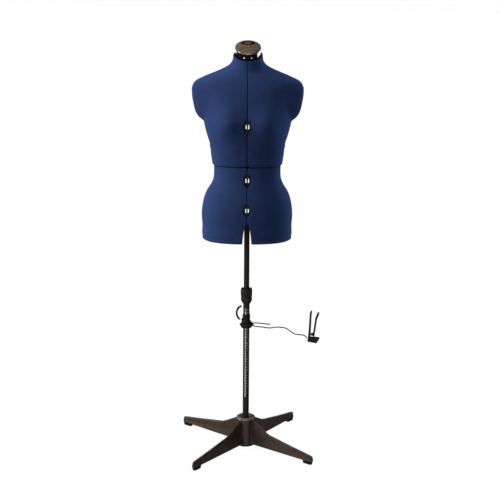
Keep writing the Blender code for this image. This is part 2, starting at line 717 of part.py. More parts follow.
# ==== pieces: neck ========================================================
def build_neck(pivot, mats):
    lean = shifted(CAP_CENTRE) @ Matrix.Rotation(math.radians(CAP_TILT), 4, "X")
    under = -CAP_THICKNESS
    cap = turned([(0, under), (CAP_RADIUS - 0.0015, under), (CAP_RADIUS, under + 0.0015),
                  (CAP_RADIUS, -0.0035), (CAP_RADIUS - 0.0012, -0.0012), (CAP_RADIUS - 0.004, 0),
                  (0.024, 0.0012), (0, 0.0018)], 24)
    add_node("neck_cap", moved(cap, lean), mats["cap"], pivot)
    sections = []
    for y, z, tilt, radius in STEM_RINGS:
        place = shifted((0, y, z)) @ Matrix.Rotation(math.radians(tilt), 4, "X")
        turn = [2 * math.pi * k / 24 for k in range(24)]
        sections.append([place @ Vector((radius * math.cos(a), radius * math.sin(a), 0)) for a in turn])
    node = add_node("neck_stem", lofted(sections), mats["stem"], pivot)
    bore = tube_cutter(NECK_POST_RADIUS + 0.0004, NECK_POST_TOP - 0.06, NECK_POST_TOP + CLEARANCE, 16)
    combine(node, add_tool("neck_post_bore", bore), "DIFFERENCE")


# ==== pieces: hem marker ==================================================
def build_marker(slider_pivot, swing_pivot, lever_pivot, jaw_pivot, mats):
    low, high = SLIDER_SPAN
    ring_low, ring_high = RING_SPAN
    slider = turned([(SLIDER_BORE, low), (0.0180, low), (0.0188, low + 0.001),
                     (0.0188, ring_low - CLEARANCE), (SLIDER_RADIUS, ring_low - CLEARANCE),
                     (SLIDER_RADIUS, ring_high + CLEARANCE), (0.0160, ring_high + CLEARANCE),
                     (0.0160, 0.4610), (SLIDER_RADIUS, 0.4640), (SLIDER_RADIUS, 0.4800),
                     (0.0125, high), (SLIDER_BORE, high)])
    node = add_node("marker_slider", slider, mats["marker"], slider_pivot)
    lug = extruded_xz([(-0.0126, 0.4590), (-0.0126, 0.4730), (-0.0160, 0.4690),
                       (-0.0178, 0.4660), (-0.0165, 0.4625)], -0.0030, 0.0030)
    combine(node, add_tool("marker_slider_lug", lug), "UNION")

    ring = turned([(RING_BORE, ring_low), (RING_RADIUS, ring_low), (RING_RADIUS, ring_high),
                   (RING_BORE, ring_high)])
    node = add_node("marker_ring", ring, mats["marker"], swing_pivot)
    lug = cuboid((0.0165, -0.0050, ring_low + 0.0004), (0.0222, 0.0050, ring_high - 0.0004))
    combine(node, add_tool("marker_ring_lug", lug), "UNION")
    knob_place = shifted((0, 0, 0.4480)) @ Matrix.Rotation(-math.pi / 2, 4, "Y")
    knob = moved(tube_cutter(0.0048, 0.0165, 0.0230, 16), knob_place)
    combine(node, add_tool("marker_ring_knob", knob), "UNION")

    add_node("marker_lever", lever_shape(), mats["marker"], lever_pivot)
    add_node("marker_clip_base", clip_base_shape(), mats["marker"], swing_pivot, smooth=False)
    add_node("marker_clip_jaw", clip_jaw_shape(), mats["marker"], jaw_pivot, smooth=False)
    build_arm(swing_pivot, mats)


def lever_shape():
    """A C-shaped thumb lever: an arc bar that bulges away from the pole."""
    centre, reach, half = (-0.0135, 0.4900), (0.0205, 0.0255), 0.0027
    sections = []
    steps = 10
    for k in range(steps + 1):
        angle = math.radians(98 + 150 * k / steps)
        ux, uz = math.cos(angle), math.sin(angle)
        thick = half * (0.75 + 0.25 * math.sin(math.pi * k / steps))
        width = 0.0045
        sections.append([(centre[0] + ux * (reach[0] + d), y, centre[1] + uz * (reach[1] + d))
                         for d, y in ((-thick, -width), (thick, -width), (thick, width), (-thick, width))])
    return lofted(sections)


def clip_base_shape():
    """The block at the end of the wire and its fixed upright jaw."""
    outline = [(0.2151, 0.3875), (0.2467, 0.3813), (0.2583, 0.4010), (0.2400, 0.4032), (0.2248, 0.4032),
               (0.2262, 0.4400), (0.2272, 0.4885), (0.2296, 0.4980), (0.2262, 0.4978), (0.2226, 0.4905),
               (0.2205, 0.4400), (0.2180, 0.4020)]
    return extruded_xz(outline, -0.0060, 0.0060)


def clip_jaw_shape():
    """The hinged jaw: a barrel on the pivot and a bar with a bent tip."""
    barrel, bar_foot = 0.0042, 0.4070
    turn = [math.radians(60 + 240 * k / 8) for k in range(9)]
    outline = [(JAW_PIVOT[0] + barrel * math.cos(a), JAW_PIVOT[1] + barrel * math.sin(a)) for a in turn]
    outline += [(0.2345, bar_foot), (0.2392, bar_foot), (0.2458, 0.4610), (0.2458, 0.4660),
                (0.2545, 0.4915), (0.2535, 0.4935), (0.2500, 0.4928), (0.2412, 0.4685),
                (0.2412, 0.4620), (0.2352, 0.4180)]
    return extruded_xz(outline, -0.0050, 0.0050)


def build_arm(pivot, mats):
    """One bent wire: a short free leg, a hairpin at the ring, a long leg to the clip."""
    start = 0.0222 + CLEARANCE + WIRE_RADIUS
    points = ((0.0850, 0.4490), (0.0680, 0.4505), (0.0430, 0.4530), (start + 0.004, 0.4535),
              (start, 0.4505), (start, 0.4450), (start + 0.004, 0.4415), (0.0560, 0.4385),
              (0.0820, 0.4355), (0.1030, 0.4385), (0.1220, 0.4380), (0.1390, 0.4345),
              (0.1550, 0.4240), (0.1700, 0.4140), (0.1880, 0.4115), (0.2030, 0.4090),
              (0.2140, 0.3995))
    curve = bpy.data.curves.new("marker_arm", "CURVE")
    curve.dimensions = "3D"
    curve.bevel_depth = WIRE_RADIUS
    curve.bevel_resolution = 2
    curve.use_fill_caps = True
    spline = curve.splines.new("POLY")
    spline.points.add(len(points) - 1)
    at = Vector(pivot["world"])
    for point, (x, z) in zip(spline.points, points):
        point.co = (x - at[0], -at[1], z - at[2], 1)
    curve.materials.append(mats["wire"])
    arm = bpy.data.objects.new("marker_arm", curve)
    bpy.context.collection.objects.link(arm)
    hang(arm, pivot, at)


# ==== assembly ============================================================
def make_materials():
    return {
        "cover": make_material("knit_cover", (0.020, 0.036, 0.110), 0.85),
        "shell": make_material("shell_plastic", (0.030, 0.030, 0.034), 0.45),
        "frame": make_material("frame_plastic", (0.040, 0.038, 0.036), 0.50),
        "wheel": make_material("wheel_plastic", (0.012, 0.012, 0.012), 0.15),
        "cap": make_material("cap_plastic", (0.085, 0.058, 0.036), 0.20),
        "stem": make_material("stem_plastic", (0.012, 0.010, 0.009), 0.12),
        "pole": make_material("pole_enamel", (0.020, 0.016, 0.013), 0.30, 0.4),
        "lock": make_material("lock_plastic", (0.020, 0.018, 0.016), 0.50),
        "marker": make_material("marker_plastic", (0.018, 0.015, 0.013), 0.45),
        "wire": make_material("wire_enamel", (0.030, 0.030, 0.030), 0.35, 0.6),
        "base": make_material("base_plastic", (0.034, 0.027, 0.022), 0.50),
        "collar": make_material("collar_plastic", (0.110, 0.090, 0.075), 0.30),
        "rubber": make_material("foot_rubber", (0.010, 0.010, 0.010), 0.80),
    }


def build_level(level, core, mats):
    """One half of the torso: four carriages, four panels and their wheels."""
    height = ARM_LEVELS[level]
    carriages = {}
    for side in SIDES:
        carriages[side] = make_pivot(f"{level}_{side}_slide", (0, 0, height), core)
        build_carriage(level, side, carriages[side], mats)
        for wheel in wheels_of(level):
            z = WHEEL_HEIGHTS[wheel][side]
            reach = surface_reach(rings_of(level), side, z) - WHEEL_DEPTHS[side]
            dx, dy = SIDES[side]
            pivot = make_pivot(f"{wheel}_{side}_axle", (dx * reach, dy * reach, z), carriages[side])
            build_wheel(wheel, level, side, pivot, mats)
    for facing, side in QUARTERS:
        slide = make_pivot(f"{level}_{facing}_{side}_slide", (0, 0, height), carriages[facing])
        build_panel(level, facing, side, slide, mats)


def main():
    clear_scene()
    mats = make_materials()
    root = make_pivot("stand", (0, 0, 0))
    build_stand(root, mats)
    nut = make_pivot("lock_turn", (0, 0, NUT_SPAN[0]), root)
    column = make_pivot("column_slide", (0, 0, INNER_TUBE_SPAN[0]), root)
    build_pole(root, nut, column, mats)
    lower_core = make_pivot("lower_core", (0, 0, ARM_LEVELS["lower"]), column)
    upper_core = make_pivot("upper_core", (0, 0, ARM_LEVELS["upper"]), lower_core)
    for level, core in (("lower", lower_core), ("upper", upper_core)):
        build_spider(level, core, mats)
        build_level(level, core, mats)
    build_neck(upper_core, mats)
    slider = make_pivot("marker_slide", (0, 0, SLIDER_SPAN[0]), root)
    swing = make_pivot("marker_swing", (0, 0, RING_SPAN[0]), slider)
    lever = make_pivot("marker_lever_pin", (LEVER_PIVOT[0], 0, LEVER_PIVOT[1]), slider)
    jaw = make_pivot("marker_jaw_pin", (JAW_PIVOT[0], 0, JAW_PIVOT[1]), swing)
    build_marker(slider, swing, lever, jaw, mats)


main()
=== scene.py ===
"""The looks of the adjustable dress form: knit covers, mouldings, metal, floor and light.

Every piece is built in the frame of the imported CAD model, in metres, and rides on
one of its bodies.  The form faces -Y, so its own left side is at +X.
"""
import math

import bmesh
import bpy
import numpy as np
from mathutils import Matrix, Vector


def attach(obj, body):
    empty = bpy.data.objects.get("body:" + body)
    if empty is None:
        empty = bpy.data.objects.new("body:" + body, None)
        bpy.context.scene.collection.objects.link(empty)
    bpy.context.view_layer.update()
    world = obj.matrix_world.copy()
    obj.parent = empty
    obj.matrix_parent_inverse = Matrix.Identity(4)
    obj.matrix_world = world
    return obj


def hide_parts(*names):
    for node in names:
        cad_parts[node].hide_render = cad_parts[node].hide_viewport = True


# ---- torso surface, the same sizes as in the CAD ---------------------------
HALF_GAP = 0.0013           # half of the slit between two neighbouring panels
COLLAR_TILT = 23.0
CAP_TILT = 28.0
# height, half width of the trunk, width that the arm stub adds, front depth,
# back depth, squareness of the section, forward tilt in degrees
RINGS = {
    "upper": (
        (1.0190, 0.1180, 0.0000, 0.0850, 0.0930, 2.45, 0.0),
        (1.0500, 0.1225, 0.0000, 0.0885, 0.0965, 2.45, 0.0),
        (1.0850, 0.1262, 0.0000, 0.0945, 0.1000, 2.40, 0.0),
        (1.1180, 0.1362, 0.0000, 0.1005, 0.1035, 2.35, 0.0),
        (1.1480, 0.1440, 0.0000, 0.1050, 0.1060, 2.30, 0.0),
        (1.1640, 0.1475, 0.0010, 0.1050, 0.1075, 2.30, 0.0),
        (1.1760, 0.1490, 0.0140, 0.1035, 0.1085, 2.30, 0.0),
        (1.1900, 0.1500, 0.0225, 0.1010, 0.1090, 2.30, 0.0),
        (1.2200, 0.1530, 0.0280, 0.0950, 0.1085, 2.30, 0.0),
        (1.2550, 0.1580, 0.0280, 0.0860, 0.1030, 2.30, 0.0),
        (1.2790, 0.1640, 0.0200, 0.0780, 0.0950, 2.30, 1.5),
        (1.2950, 0.1640, 0.0080, 0.0710, 0.0860, 2.25, 3.0),
        (1.3080, 0.1450, 0.0000, 0.0650, 0.0765, 2.20, 5.0),
        (1.3190, 0.1160, 0.0000, 0.0600, 0.0680, 2.15, 8.0),
        (1.3290, 0.0900, 0.0000, 0.0555, 0.0610, 2.10, 11.0),
        (1.3400, 0.0675, 0.0000, 0.0515, 0.0550, 2.05, 16.0),
        (1.3530, 0.0550, 0.0000, 0.0490, 0.0510, 2.00, 19.0),
        (1.3800, 0.0485, 0.0000, 0.0475, 0.0475, 2.00, COLLAR_TILT),
    ),
    "lower": (
        (0.7560, 0.1400, 0.0000, 0.0900, 0.1180, 2.35, 0.0),
        (0.7600, 0.1485, 0.0000, 0.0980, 0.1265, 2.35, 0.0),
        (0.7720, 0.1520, 0.0000, 0.1010, 0.1300, 2.35, 0.0),
        (0.8100, 0.1525, 0.0000, 0.1035, 0.1330, 2.35, 0.0),
        (0.8450, 0.1545, 0.0000, 0.1060, 0.1330, 2.35, 0.0),
        (0.8750, 0.1520, 0.0000, 0.1060, 0.1280, 2.35, 0.0),
        (0.9030, 0.1460, 0.0000, 0.1045, 0.1200, 2.35, 0.0),
        (0.9240, 0.1375, 0.0000, 0.1005, 0.1115, 2.35, 0.0),
        (0.9450, 0.1240, 0.0000, 0.0950, 0.1030, 2.40, 0.0),
        (0.9650, 0.1155, 0.0000, 0.0890, 0.0960, 2.40, 0.0),
        (0.9880, 0.1125, 0.0000, 0.0845, 0.0905, 2.45, 0.0),
        (1.0140, 0.1128, 0.0000, 0.0825, 0.0880, 2.45, 0.0),
    ),
}
STUB_CENTRE = 1.232         # the arm stub's oval end plate
STUB_HALF_HEIGHT = 0.085
STUB_HALF_DEPTH = 0.050
# centre (x, z), spread (x, z) and height of the bust and of the seat
SWELLS = {"front": ((0.072, 1.163), (0.044, 0.048), 0.020),
          "back": ((0.070, 0.830), (0.050, 0.055), 0.006)}
NOTCH_HALF_WIDTH = 0.0155   # arch cut at the hem, front and back
NOTCH_TOP = 0.829
NOTCH_TAPER = 0.15

# ---- adjusting wheels and the carriages that hold them ----------------------
WHEEL_RADIUS = 0.0148
WHEEL_HALF_WIDTH = 0.00635
WHEEL_TEETH = 44
SPINDLE_RADIUS = 0.0030
SPINDLE_BORE = 0.0036
SPINDLE_HALF_LENGTH = 0.042
THREAD_PITCH = 0.0010
THREAD_TURNS = 35           # on each half of the spindle
WHEEL_DEPTHS = {"front": 0.0165, "back": 0.0165, "left": 0.0200, "right": 0.0200}
WHEEL_HEIGHTS = {
    "bust": {"front": 1.154, "back": 1.154, "left": 1.092, "right": 1.092},
    "waist": {"front": 0.973, "back": 0.973, "left": 0.973, "right": 0.973},
    "hip": {"front": 0.875, "back": 0.875, "left": 0.822, "right": 0.822},
}
WHEELS = {"upper": ("bust",), "lower": ("waist", "hip")}
WINDOW = (0.0118, 0.0207)   # half width and half height of the opening in the panels
CUP = (0.0112, 0.0201)
CUP_WALL = 0.0016
CUP_FLOOR = 0.0020
CUP_SINK = 0.0016           # how far the cup's lip lies under the cloth
SLOT = (0.0070, 0.0074)     # half width and half height of the slot in the cup's face plate
PLATE_DEPTHS = (0.0028, 0.0034)
NUT_BLOCK = (0.0128, 0.0265)
ARM_LEVELS = {"upper": 1.058, "lower": 0.925}
SLEEVE_HALF = 0.0075
SLEEVE_BORE = 0.0056
SLEEVE_LENGTH = 0.056
STRAP_DEPTHS = (0.0105, 0.0140)
STRAP_HALF_WIDTH = 0.0080
SPIDER_BORE = 0.0099
SPIDER_RADIUS = 0.0140
POST_RADIUS = 0.0090        # the post on the upper spider that carries the neck
POST_FOOT = 1.153
POST_TOP = 1.3650

# ---- cloth -------------------------------------------------------------------
EDGE_ROLL = 0.0022          # radius with which the cover turns round a panel's edge
EDGE_PROUD = 0.0004         # how far the turned edge stands into the gap
EDGE_DEPTH = 0.0057         # how far the cover reaches down the edge of the shell
WAIST_PROUD = 0.0010        # more of that at the waist, where the gap is wider
CORNER_ROUND = 0.0034
CLOTH_THICKNESS = 0.0005
SHELL_DEPTH = 0.0026
SHELL_THICKNESS = 0.0029
SHELL_INSET = 0.0003

SIDES = {"front": (0.0, -1.0), "back": (0.0, 1.0), "left": (1.0, 0.0), "right": (-1.0, 0.0)}
QUARTERS = (("front", "left"), ("front", "right"), ("back", "left"), ("back", "right"))

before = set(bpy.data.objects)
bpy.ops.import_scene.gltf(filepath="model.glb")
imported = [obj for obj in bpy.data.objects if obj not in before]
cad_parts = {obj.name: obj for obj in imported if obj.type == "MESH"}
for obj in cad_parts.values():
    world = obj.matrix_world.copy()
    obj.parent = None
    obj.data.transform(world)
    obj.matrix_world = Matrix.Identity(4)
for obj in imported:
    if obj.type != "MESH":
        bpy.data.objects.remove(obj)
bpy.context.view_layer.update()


# ==== materials ===============================================================
class Recipe:
    """A node material on one Principled shader; patterns are made in metres."""

    def __init__(self, name, colour, roughness, metallic=0.0, coordinates="Object", **sockets):
        self.material = bpy.data.materials.new(name)
        self.material.use_nodes = True
        self.tree = self.material.node_tree
        self.colour = colour
        self.shade(Base_Color=(*colour, 1.0), Roughness=roughness, Metallic=metallic, **sockets)
        self.place = self.tree.nodes.new("ShaderNodeTexCoord").outputs[coordinates]

    def fill(self, node, inputs):
        """Give each input its value, or link it when the value is another node's output."""
        for key, value in inputs.items():
            if isinstance(value, bpy.types.NodeSocket):
                self.tree.links.new(value, node.inputs[key])
            else:
                node.inputs[key].default_value = value

    def shade(self, **inputs):
        shader = self.tree.nodes["Principled BSDF"]
        self.fill(shader, {key.replace("_", " "): value for key, value in inputs.items()})

    def add(self, kind, inputs):
        node = self.tree.nodes.new("ShaderNode" + kind)
        self.fill(node, inputs)
        return node

    def math(self, operation, first, second=0.0, third=0.0):
        node = self.add("Math", {0: first, 1: second, 2: third})
        node.operation = operation
        return node.outputs[0]

    def noise(self, size, detail=3.0, stretch=(1.0, 1.0, 1.0)):
        """Cloudy noise from 0 to 1 with features of about that size."""
        scale = tuple(1 / (size * s) for s in stretch)
        place = self.add("Mapping", {"Vector": self.place, "Scale": scale}).outputs[0]
        return self.add("TexNoise", {"Vector": place, "Scale": 1.0, "Detail": detail}).outputs[0]

    def between(self, value, low, high, to_low=0.0, to_high=1.0):
        span = {"From Min": low, "From Max": high, "To Min": to_low, "To Max": to_high}
        return self.add("MapRange", {"Value": value, **span}).outputs[0]

    def tint(self, value, darker, lighter):
        """The base colour goes from darker to lighter shares of itself as value goes from 0 to 1."""
        ends = [(*(min(c * share, 1.0) for c in self.colour), 1.0) for share in (darker, lighter)]
        mix = self.tree.nodes.new("ShaderNodeMix")
        mix.data_type = "RGBA"
        self.fill(mix, {0: value, 6: ends[0], 7: ends[1]})
        self.shade(Base_Color=mix.outputs[2])

    def roughen(self, value, low, high):
        self.shade(Roughness=self.between(value, 0.3, 0.7, low, high))

    def bump(self, value, strength, distance):
        made = self.add("Bump", {"Strength": strength, "Distance": distance, "Height": value})
        self.shade(Normal=made.outputs[0])


def knit_material(name, colour, wale=0.0011, course=0.0009):
    """A fine jersey: upright wales crossed by slanting stitches, with a soft nap and painted shade in the
    grooves between them.
    """
    recipe = Recipe(name, colour, 0.92, coordinates="UV", Sheen_Weight=0.12, Sheen_Roughness=0.45,
                    Sheen_Tint=(0.30, 0.50, 1.0, 1.0), Specular_IOR_Level=0.0)
    split = recipe.add("SeparateXYZ", {0: recipe.place}).outputs
    across = recipe.math("MULTIPLY", split[0], math.pi / wale)
    ridge = recipe.math("ABSOLUTE", recipe.math("SINE", across))
    up = recipe.math("MULTIPLY", split[1], 2 * math.pi / course)
    slanted = recipe.math("ADD", up, recipe.math("MULTIPLY", ridge, 2.2))
    stitch = recipe.math("MULTIPLY_ADD", recipe.math("SINE", slanted), 0.25, 0.75)
    loop = recipe.math("MULTIPLY", recipe.math("SQRT", ridge), stitch)
    cloud = recipe.between(recipe.noise(0.030), 0.3, 0.7)
    fuzz = recipe.between(recipe.noise(0.0022, 2.0), 0.3, 0.7)
    # The colour is darker where the stitch relief dips, in the grooves between wales and stitches. This is
    # painted shade in the knit's hollows, mixed with random cloudy and fuzzy tone.
    shade = recipe.math("ADD", recipe.math("MULTIPLY", loop, 0.62), recipe.math("MULTIPLY", cloud, 0.2))
    shade = recipe.math("ADD", shade, recipe.math("MULTIPLY", fuzz, 0.18))
    recipe.tint(shade, 0.66, 1.24)
    recipe.bump(recipe.math("ADD", loop, recipe.math("MULTIPLY", fuzz, 0.5)), 0.35, 0.0003)
    return recipe.material


def moulded(name, colour, roughness, grain=0.0007, depth=0.00005, swirl=0.02, contrast=0.16, **more):
    """Moulded plastic: fine grain, slight flow marks and uneven gloss."""
    recipe = Recipe(name, colour, roughness, **more)
    flow = recipe.between(recipe.noise(swirl, 4.0, (1.0, 1.0, 1.6)), 0.3, 0.7)
    recipe.tint(flow, 1 - contrast, 1 + contrast)
    recipe.roughen(recipe.noise(swirl * 0.4, 5.0), roughness * 0.82, min(roughness * 1.2, 1.0))
    recipe.bump(recipe.noise(grain, 2.0), 0.5, depth)
    return recipe.material


def enamelled(name, colour, roughness, scuff=0.03):
    """Baked enamel on steel: orange peel, and rub marks along the pole."""
    recipe = Recipe(name, colour, roughness, Specular_IOR_Level=0.10)
    rubbed = recipe.between(recipe.noise(scuff, 6.0, (0.05, 0.05, 1.0)), 0.52, 0.78)
    recipe.tint(rubbed, 0.92, 1.7)
    recipe.roughen(recipe.noise(0.006, 4.0), roughness * 0.8, roughness * 1.25)
    recipe.bump(recipe.noise(0.0016, 2.0), 0.25, 0.00004)
    return recipe.material


def metal(name, colour, roughness):
    """Turned metal with a fine grain."""
    recipe = Recipe(name, colour, roughness, 1.0)
    brushed = recipe.noise(0.0006, 4.0)
    recipe.tint(recipe.between(brushed, 0.3, 0.7), 0.85, 1.1)
    recipe.roughen(brushed, roughness * 0.75, roughness * 1.3)
    recipe.bump(brushed, 0.15, 0.00002)
    return recipe.material


MATERIALS = {
    "cloth": knit_material("navy_knit", (0.0213, 0.0375, 0.1075)),
    "shell": moulded("shell_plastic", (0.030, 0.030, 0.034), 0.45, depth=0.00008),
    "frame": moulded("frame_plastic", (0.006, 0.006, 0.006), 0.60, contrast=0.25, Specular_IOR_Level=0.12),
    "wheel": moulded("wheel_plastic", (0.004, 0.004, 0.004), 0.40, depth=0.00001, Specular_IOR_Level=0.2),
    "bright": metal("wheel_bright", (0.92, 0.93, 0.93), 0.36),
    "steel": metal("spindle_steel", (0.36, 0.35, 0.34), 0.30),
    "cap": moulded("cap_plastic", (0.150, 0.105, 0.072), 0.26, depth=0.00001, contrast=0.3,
                   Coat_Weight=0.6, Coat_Roughness=0.08, metallic=0.3),
    "stem": moulded("stem_plastic", (0.004, 0.0035, 0.003), 0.08, depth=0.000002),
    "badge": moulded("badge_enamel", (0.008, 0.004, 0.002), 0.55, depth=0.00001, Specular_IOR_Level=0.1),
    "pole": enamelled("pole_enamel", (0.012, 0.010, 0.008), 0.42),
    "print": moulded("scale_print", (0.62, 0.58, 0.53), 0.55, contrast=0.10),
    "lock": moulded("lock_plastic", (0.014, 0.011, 0.009), 0.50, contrast=0.2, Specular_IOR_Level=0.15),
    "marker": moulded("marker_plastic", (0.006, 0.005, 0.004), 0.50, contrast=0.2,
                      Specular_IOR_Level=0.12),
    "rubber": moulded("foot_rubber", (0.006, 0.006, 0.006), 0.80, grain=0.0012, Specular_IOR_Level=0.1),
    "wire": enamelled("wire_enamel", (0.008, 0.008, 0.008), 0.45, 0.006),
    "base": moulded("base_plastic", (0.027, 0.018, 0.0125), 0.40, grain=0.0009, depth=0.00006,
                    contrast=0.22, Specular_IOR_Level=0.22),
    "collar": moulded("collar_plastic", (0.120, 0.098, 0.082), 0.24, depth=0.00002, Coat_Weight=0.5),
}


# ==== mesh building ===========================================================
def linked(name, data):
    """A new object in the scene."""
    obj = bpy.data.objects.new(name, data)
    bpy.context.scene.collection.objects.link(obj)
    return obj


def as_mesh(name, bm):
    """The bmesh as a mesh; the bmesh is freed."""
    mesh = bpy.data.meshes.new(name)
    bm.to_mesh(mesh)
    bm.free()
    return mesh


def evaluated(obj):
    """A copy of the object's mesh with its modifiers or its text worked out."""
    graph = bpy.context.evaluated_depsgraph_get()
    return bpy.data.meshes.new_from_object(obj.evaluated_get(graph))


def add_piece(name, bm, looks, body, replaces=(), sharp=42.0, recalc=True):
    """Turn a bmesh into a shown piece on a body, with a material for each of its looks.
    """
    if recalc:
        bmesh.ops.recalc_face_normals(bm, faces=bm.faces)
    mesh = as_mesh(name, bm)
    obj = linked(name, mesh)
    for look in looks.split():
        mesh.materials.append(MATERIALS[look])
    mesh.shade_smooth()
    mesh.set_sharp_from_angle(angle=math.radians(sharp))
    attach(obj, body)
    if replaces:
        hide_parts(*replaces)
    return obj


def joined(*parts):
    """Several bmeshes as one; each keeps its own faces."""
    whole, *others = parts
    for part in others:
        mesh = as_mesh("part", part)
        whole.from_mesh(mesh)
        bpy.data.meshes.remove(mesh)
    return whole


def moved(bm, matrix):
    bmesh.ops.transform(bm, matrix=matrix, verts=bm.verts)
    return bm


def painted(bm, index):
    for face in bm.faces:
        face.material_index = index
    return bm


def rounded(points, radius, steps=4):
    """An outline with its corners turned into curves; a third number sets a point's own radius."""
    made = []
    for k, point in enumerate(points):
        here = np.array(point[:2], float)
        reach = point[2] if len(point) > 2 else radius
        if reach == 0:
            made.append(tuple(here))
            continue
        back = np.array(points[k - 1][:2], float) - here
        ahead = np.array(points[(k + 1) % len(points)][:2], float) - here
        start = back * min(reach / np.linalg.norm(back), 0.48)
        end = ahead * min(reach / np.linalg.norm(ahead), 0.48)
        for t in np.linspace(0, 1, steps + 1):
            made.append(tuple(here + (1 - t) ** 2 * start + t * t * end))
    return made


def turned(outline, segments, ripple=None):
    """Spin a closed (radius, height) outline about Z; ripple scales the radius."""
    bm = bmesh.new()
    rings = []
    for radius, height in outline:
        if radius < 1e-7:
            rings.append([bm.verts.new((0, 0, height))] * segments)
            continue
        ring = []
        for k in range(segments):
            angle = 2 * math.pi * k / segments
            r = radius * ripple(angle, radius, height) if ripple else radius
            ring.append(bm.verts.new((r * math.cos(angle), r * math.sin(angle), height)))
        rings.append(ring)
    for low, high in zip(rings, rings[1:] + rings[:1]):
        for k in range(segments):
            n = (k + 1) % segments
            corners = list(dict.fromkeys([low[k], low[n], high[n], high[k]]))
            if len(corners) > 2:
                bm.faces.new(corners)
    return bm


def lofted(sections, closed=False):
    """Skin a list of closed loops; the end loops are capped unless it is closed."""
    bm = bmesh.new()
    loops = [[bm.verts.new(p) for p in section] for section in sections]
    for a, b in list(zip(loops, loops[1:])) + ([(loops[-1], loops[0])] if closed else []):
        for k in range(len(a)):
            n = (k + 1) % len(a)
            bm.faces.new((a[k], a[n], b[n], b[k]))
    if not closed:
        bm.faces.new(loops[0][::-1])
        bm.faces.new(loops[-1])
    return bm


def at_height(outline, z):
    """A flat outline as a loop at a height."""
    return [(x, y, z) for x, y in outline]


def plate(outline, low, high, axis="Y"):
    """An outline given a thickness; the outline is in XZ for axis Y, in XY for axis Z."""
    if axis == "Y":
        return lofted([[(x, y, z) for x, z in outline] for y in (low, high)])
    return lofted([at_height(outline, z) for z in (low, high)])


def stadium(half_width, half_height, steps=12):
    """A round-ended slot, tall along its second axis."""
    rise = half_height - half_width
    arc = [math.pi * k / steps for k in range(steps + 1)]
    top = [(half_width * math.cos(a), rise + half_width * math.sin(a)) for a in arc]
    return top + [(-x, -y) for x, y in top]


def squircle(half_x, half_y, power=6.0, steps=32):
    """A rounded rectangle as one smooth loop."""
    made = []
    for k in range(steps):
        a = 2 * math.pi * k / steps
        c, s = math.cos(a), math.sin(a)
        scale = (abs(c) ** power + abs(s) ** power) ** (-1 / power)
        made.append((half_x * c * scale, half_y * s * scale))
    return made


def cut(obj, tool):
    """Take the tool's shape out of obj, and throw the tool away."""
    modifier = obj.modifiers.new("cut", "BOOLEAN")
    modifier.operation = "DIFFERENCE"
    modifier.object = tool
    mesh = evaluated(obj)
    obj.modifiers.remove(modifier)
    old = obj.data
    obj.data = mesh
    bpy.data.meshes.remove(old)
    bpy.data.objects.remove(tool)


def solid(bm):
    """A plain object for a cut."""
    bmesh.ops.recalc_face_normals(bm, faces=bm.faces)
    obj = linked("solid", as_mesh("solid", bm))
    bpy.context.view_layer.update()
    return obj


# ==== torso surface ===========================================================
def ring_rows(level, heights):
    """The ring table read at the heights along a smooth curve, a row for each."""
    table = np.array(RINGS[level])
    z = table[:, 0]
    slopes = np.gradient(table, z, axis=0)
    k = np.clip(np.searchsorted(z, heights) - 1, 0, len(z) - 2)
    step = (z[k + 1] - z[k])[:, None]
    t = (heights - z[k])[:, None] / step
    return ((1 + 2 * t) * (1 - t) ** 2 * table[k] + t * (1 - t) ** 2 * step * slopes[k]
            + t * t * (3 - 2 * t) * table[k + 1] + t * t * (t - 1) * step * slopes[k + 1])


def stub_share(y, z):
    """How much of the arm stub's width a point gets: all in the stub's oval, none well outside it."""
    rise = (z - STUB_CENTRE) / STUB_HALF_HEIGHT
    depth = STUB_HALF_DEPTH * np.sqrt(np.maximum(0.0, 1 - rise * rise))
    t = np.clip((np.abs(y) / np.maximum(depth, 1e-6) - 0.55) / 0.75, 0.0, 1.0)
    return 1 - t * t * (3 - 2 * t)


def torso_surface(level, facing, turns, heights):
    """Points of the left half, a row for each height; turn is 0 at the side, 1 at the middle."""
    rows = ring_rows(level, heights)
    width, stub, front, back, square, tilt = (rows[:, k, None] for k in range(1, 7))
    z = heights[:, None]
    depth = front if facing == "front" else back
    c, s = np.cos(turns * np.pi / 2), np.sin(turns * np.pi / 2)
    scale = (np.abs(c) ** square + np.abs(s) ** square) ** (-1 / square)
    x = HALF_GAP + (width - HALF_GAP) * c * scale
    y = HALF_GAP + (depth - HALF_GAP) * s * scale
    x = x + stub * stub_share(y, z)
    centre, spread, height = SWELLS[facing]
    y = y + height * s * np.exp(-((x - centre[0]) / spread[0]) ** 2 - ((z - centre[1]) / spread[1]) ** 2)
    sign = SIDES[facing][1]
    lean = np.radians(tilt)
    return np.stack((x, sign * y * np.cos(lean), z + sign * y * np.sin(lean)), axis=-1)


def torso_normals(level, facing, turns, heights):
    step = 0.002
    low, high = RINGS[level][0][0], RINGS[level][-1][0]
    across = (torso_surface(level, facing, np.minimum(turns + step, 1), heights)
              - torso_surface(level, facing, np.maximum(turns - step, 0), heights))
    upward = (torso_surface(level, facing, turns, np.minimum(heights + step, high))
              - torso_surface(level, facing, turns, np.maximum(heights - step, low)))
    normal = np.cross(upward, across) if facing == "front" else np.cross(across, upward)
    return normal / np.linalg.norm(normal, axis=-1, keepdims=True)


def reach_at(level, side, height, offset=0.0):
    """How far out the surface is at a height, a way off from the middle of a side's gap."""
    turns = np.linspace(0, 1, 401)[None, :]
    facing = side if side in ("front", "back") else "front"
    row = torso_surface(level, facing, turns, np.array([height]))[0]
    x, y = row[:, 0], np.abs(row[:, 1])
    if side in ("front", "back"):
        return float(np.interp(offset, x[::-1], y[::-1])) if offset else float(y[-1])
    return float(np.interp(offset, y, x)) if offset else float(x[0])


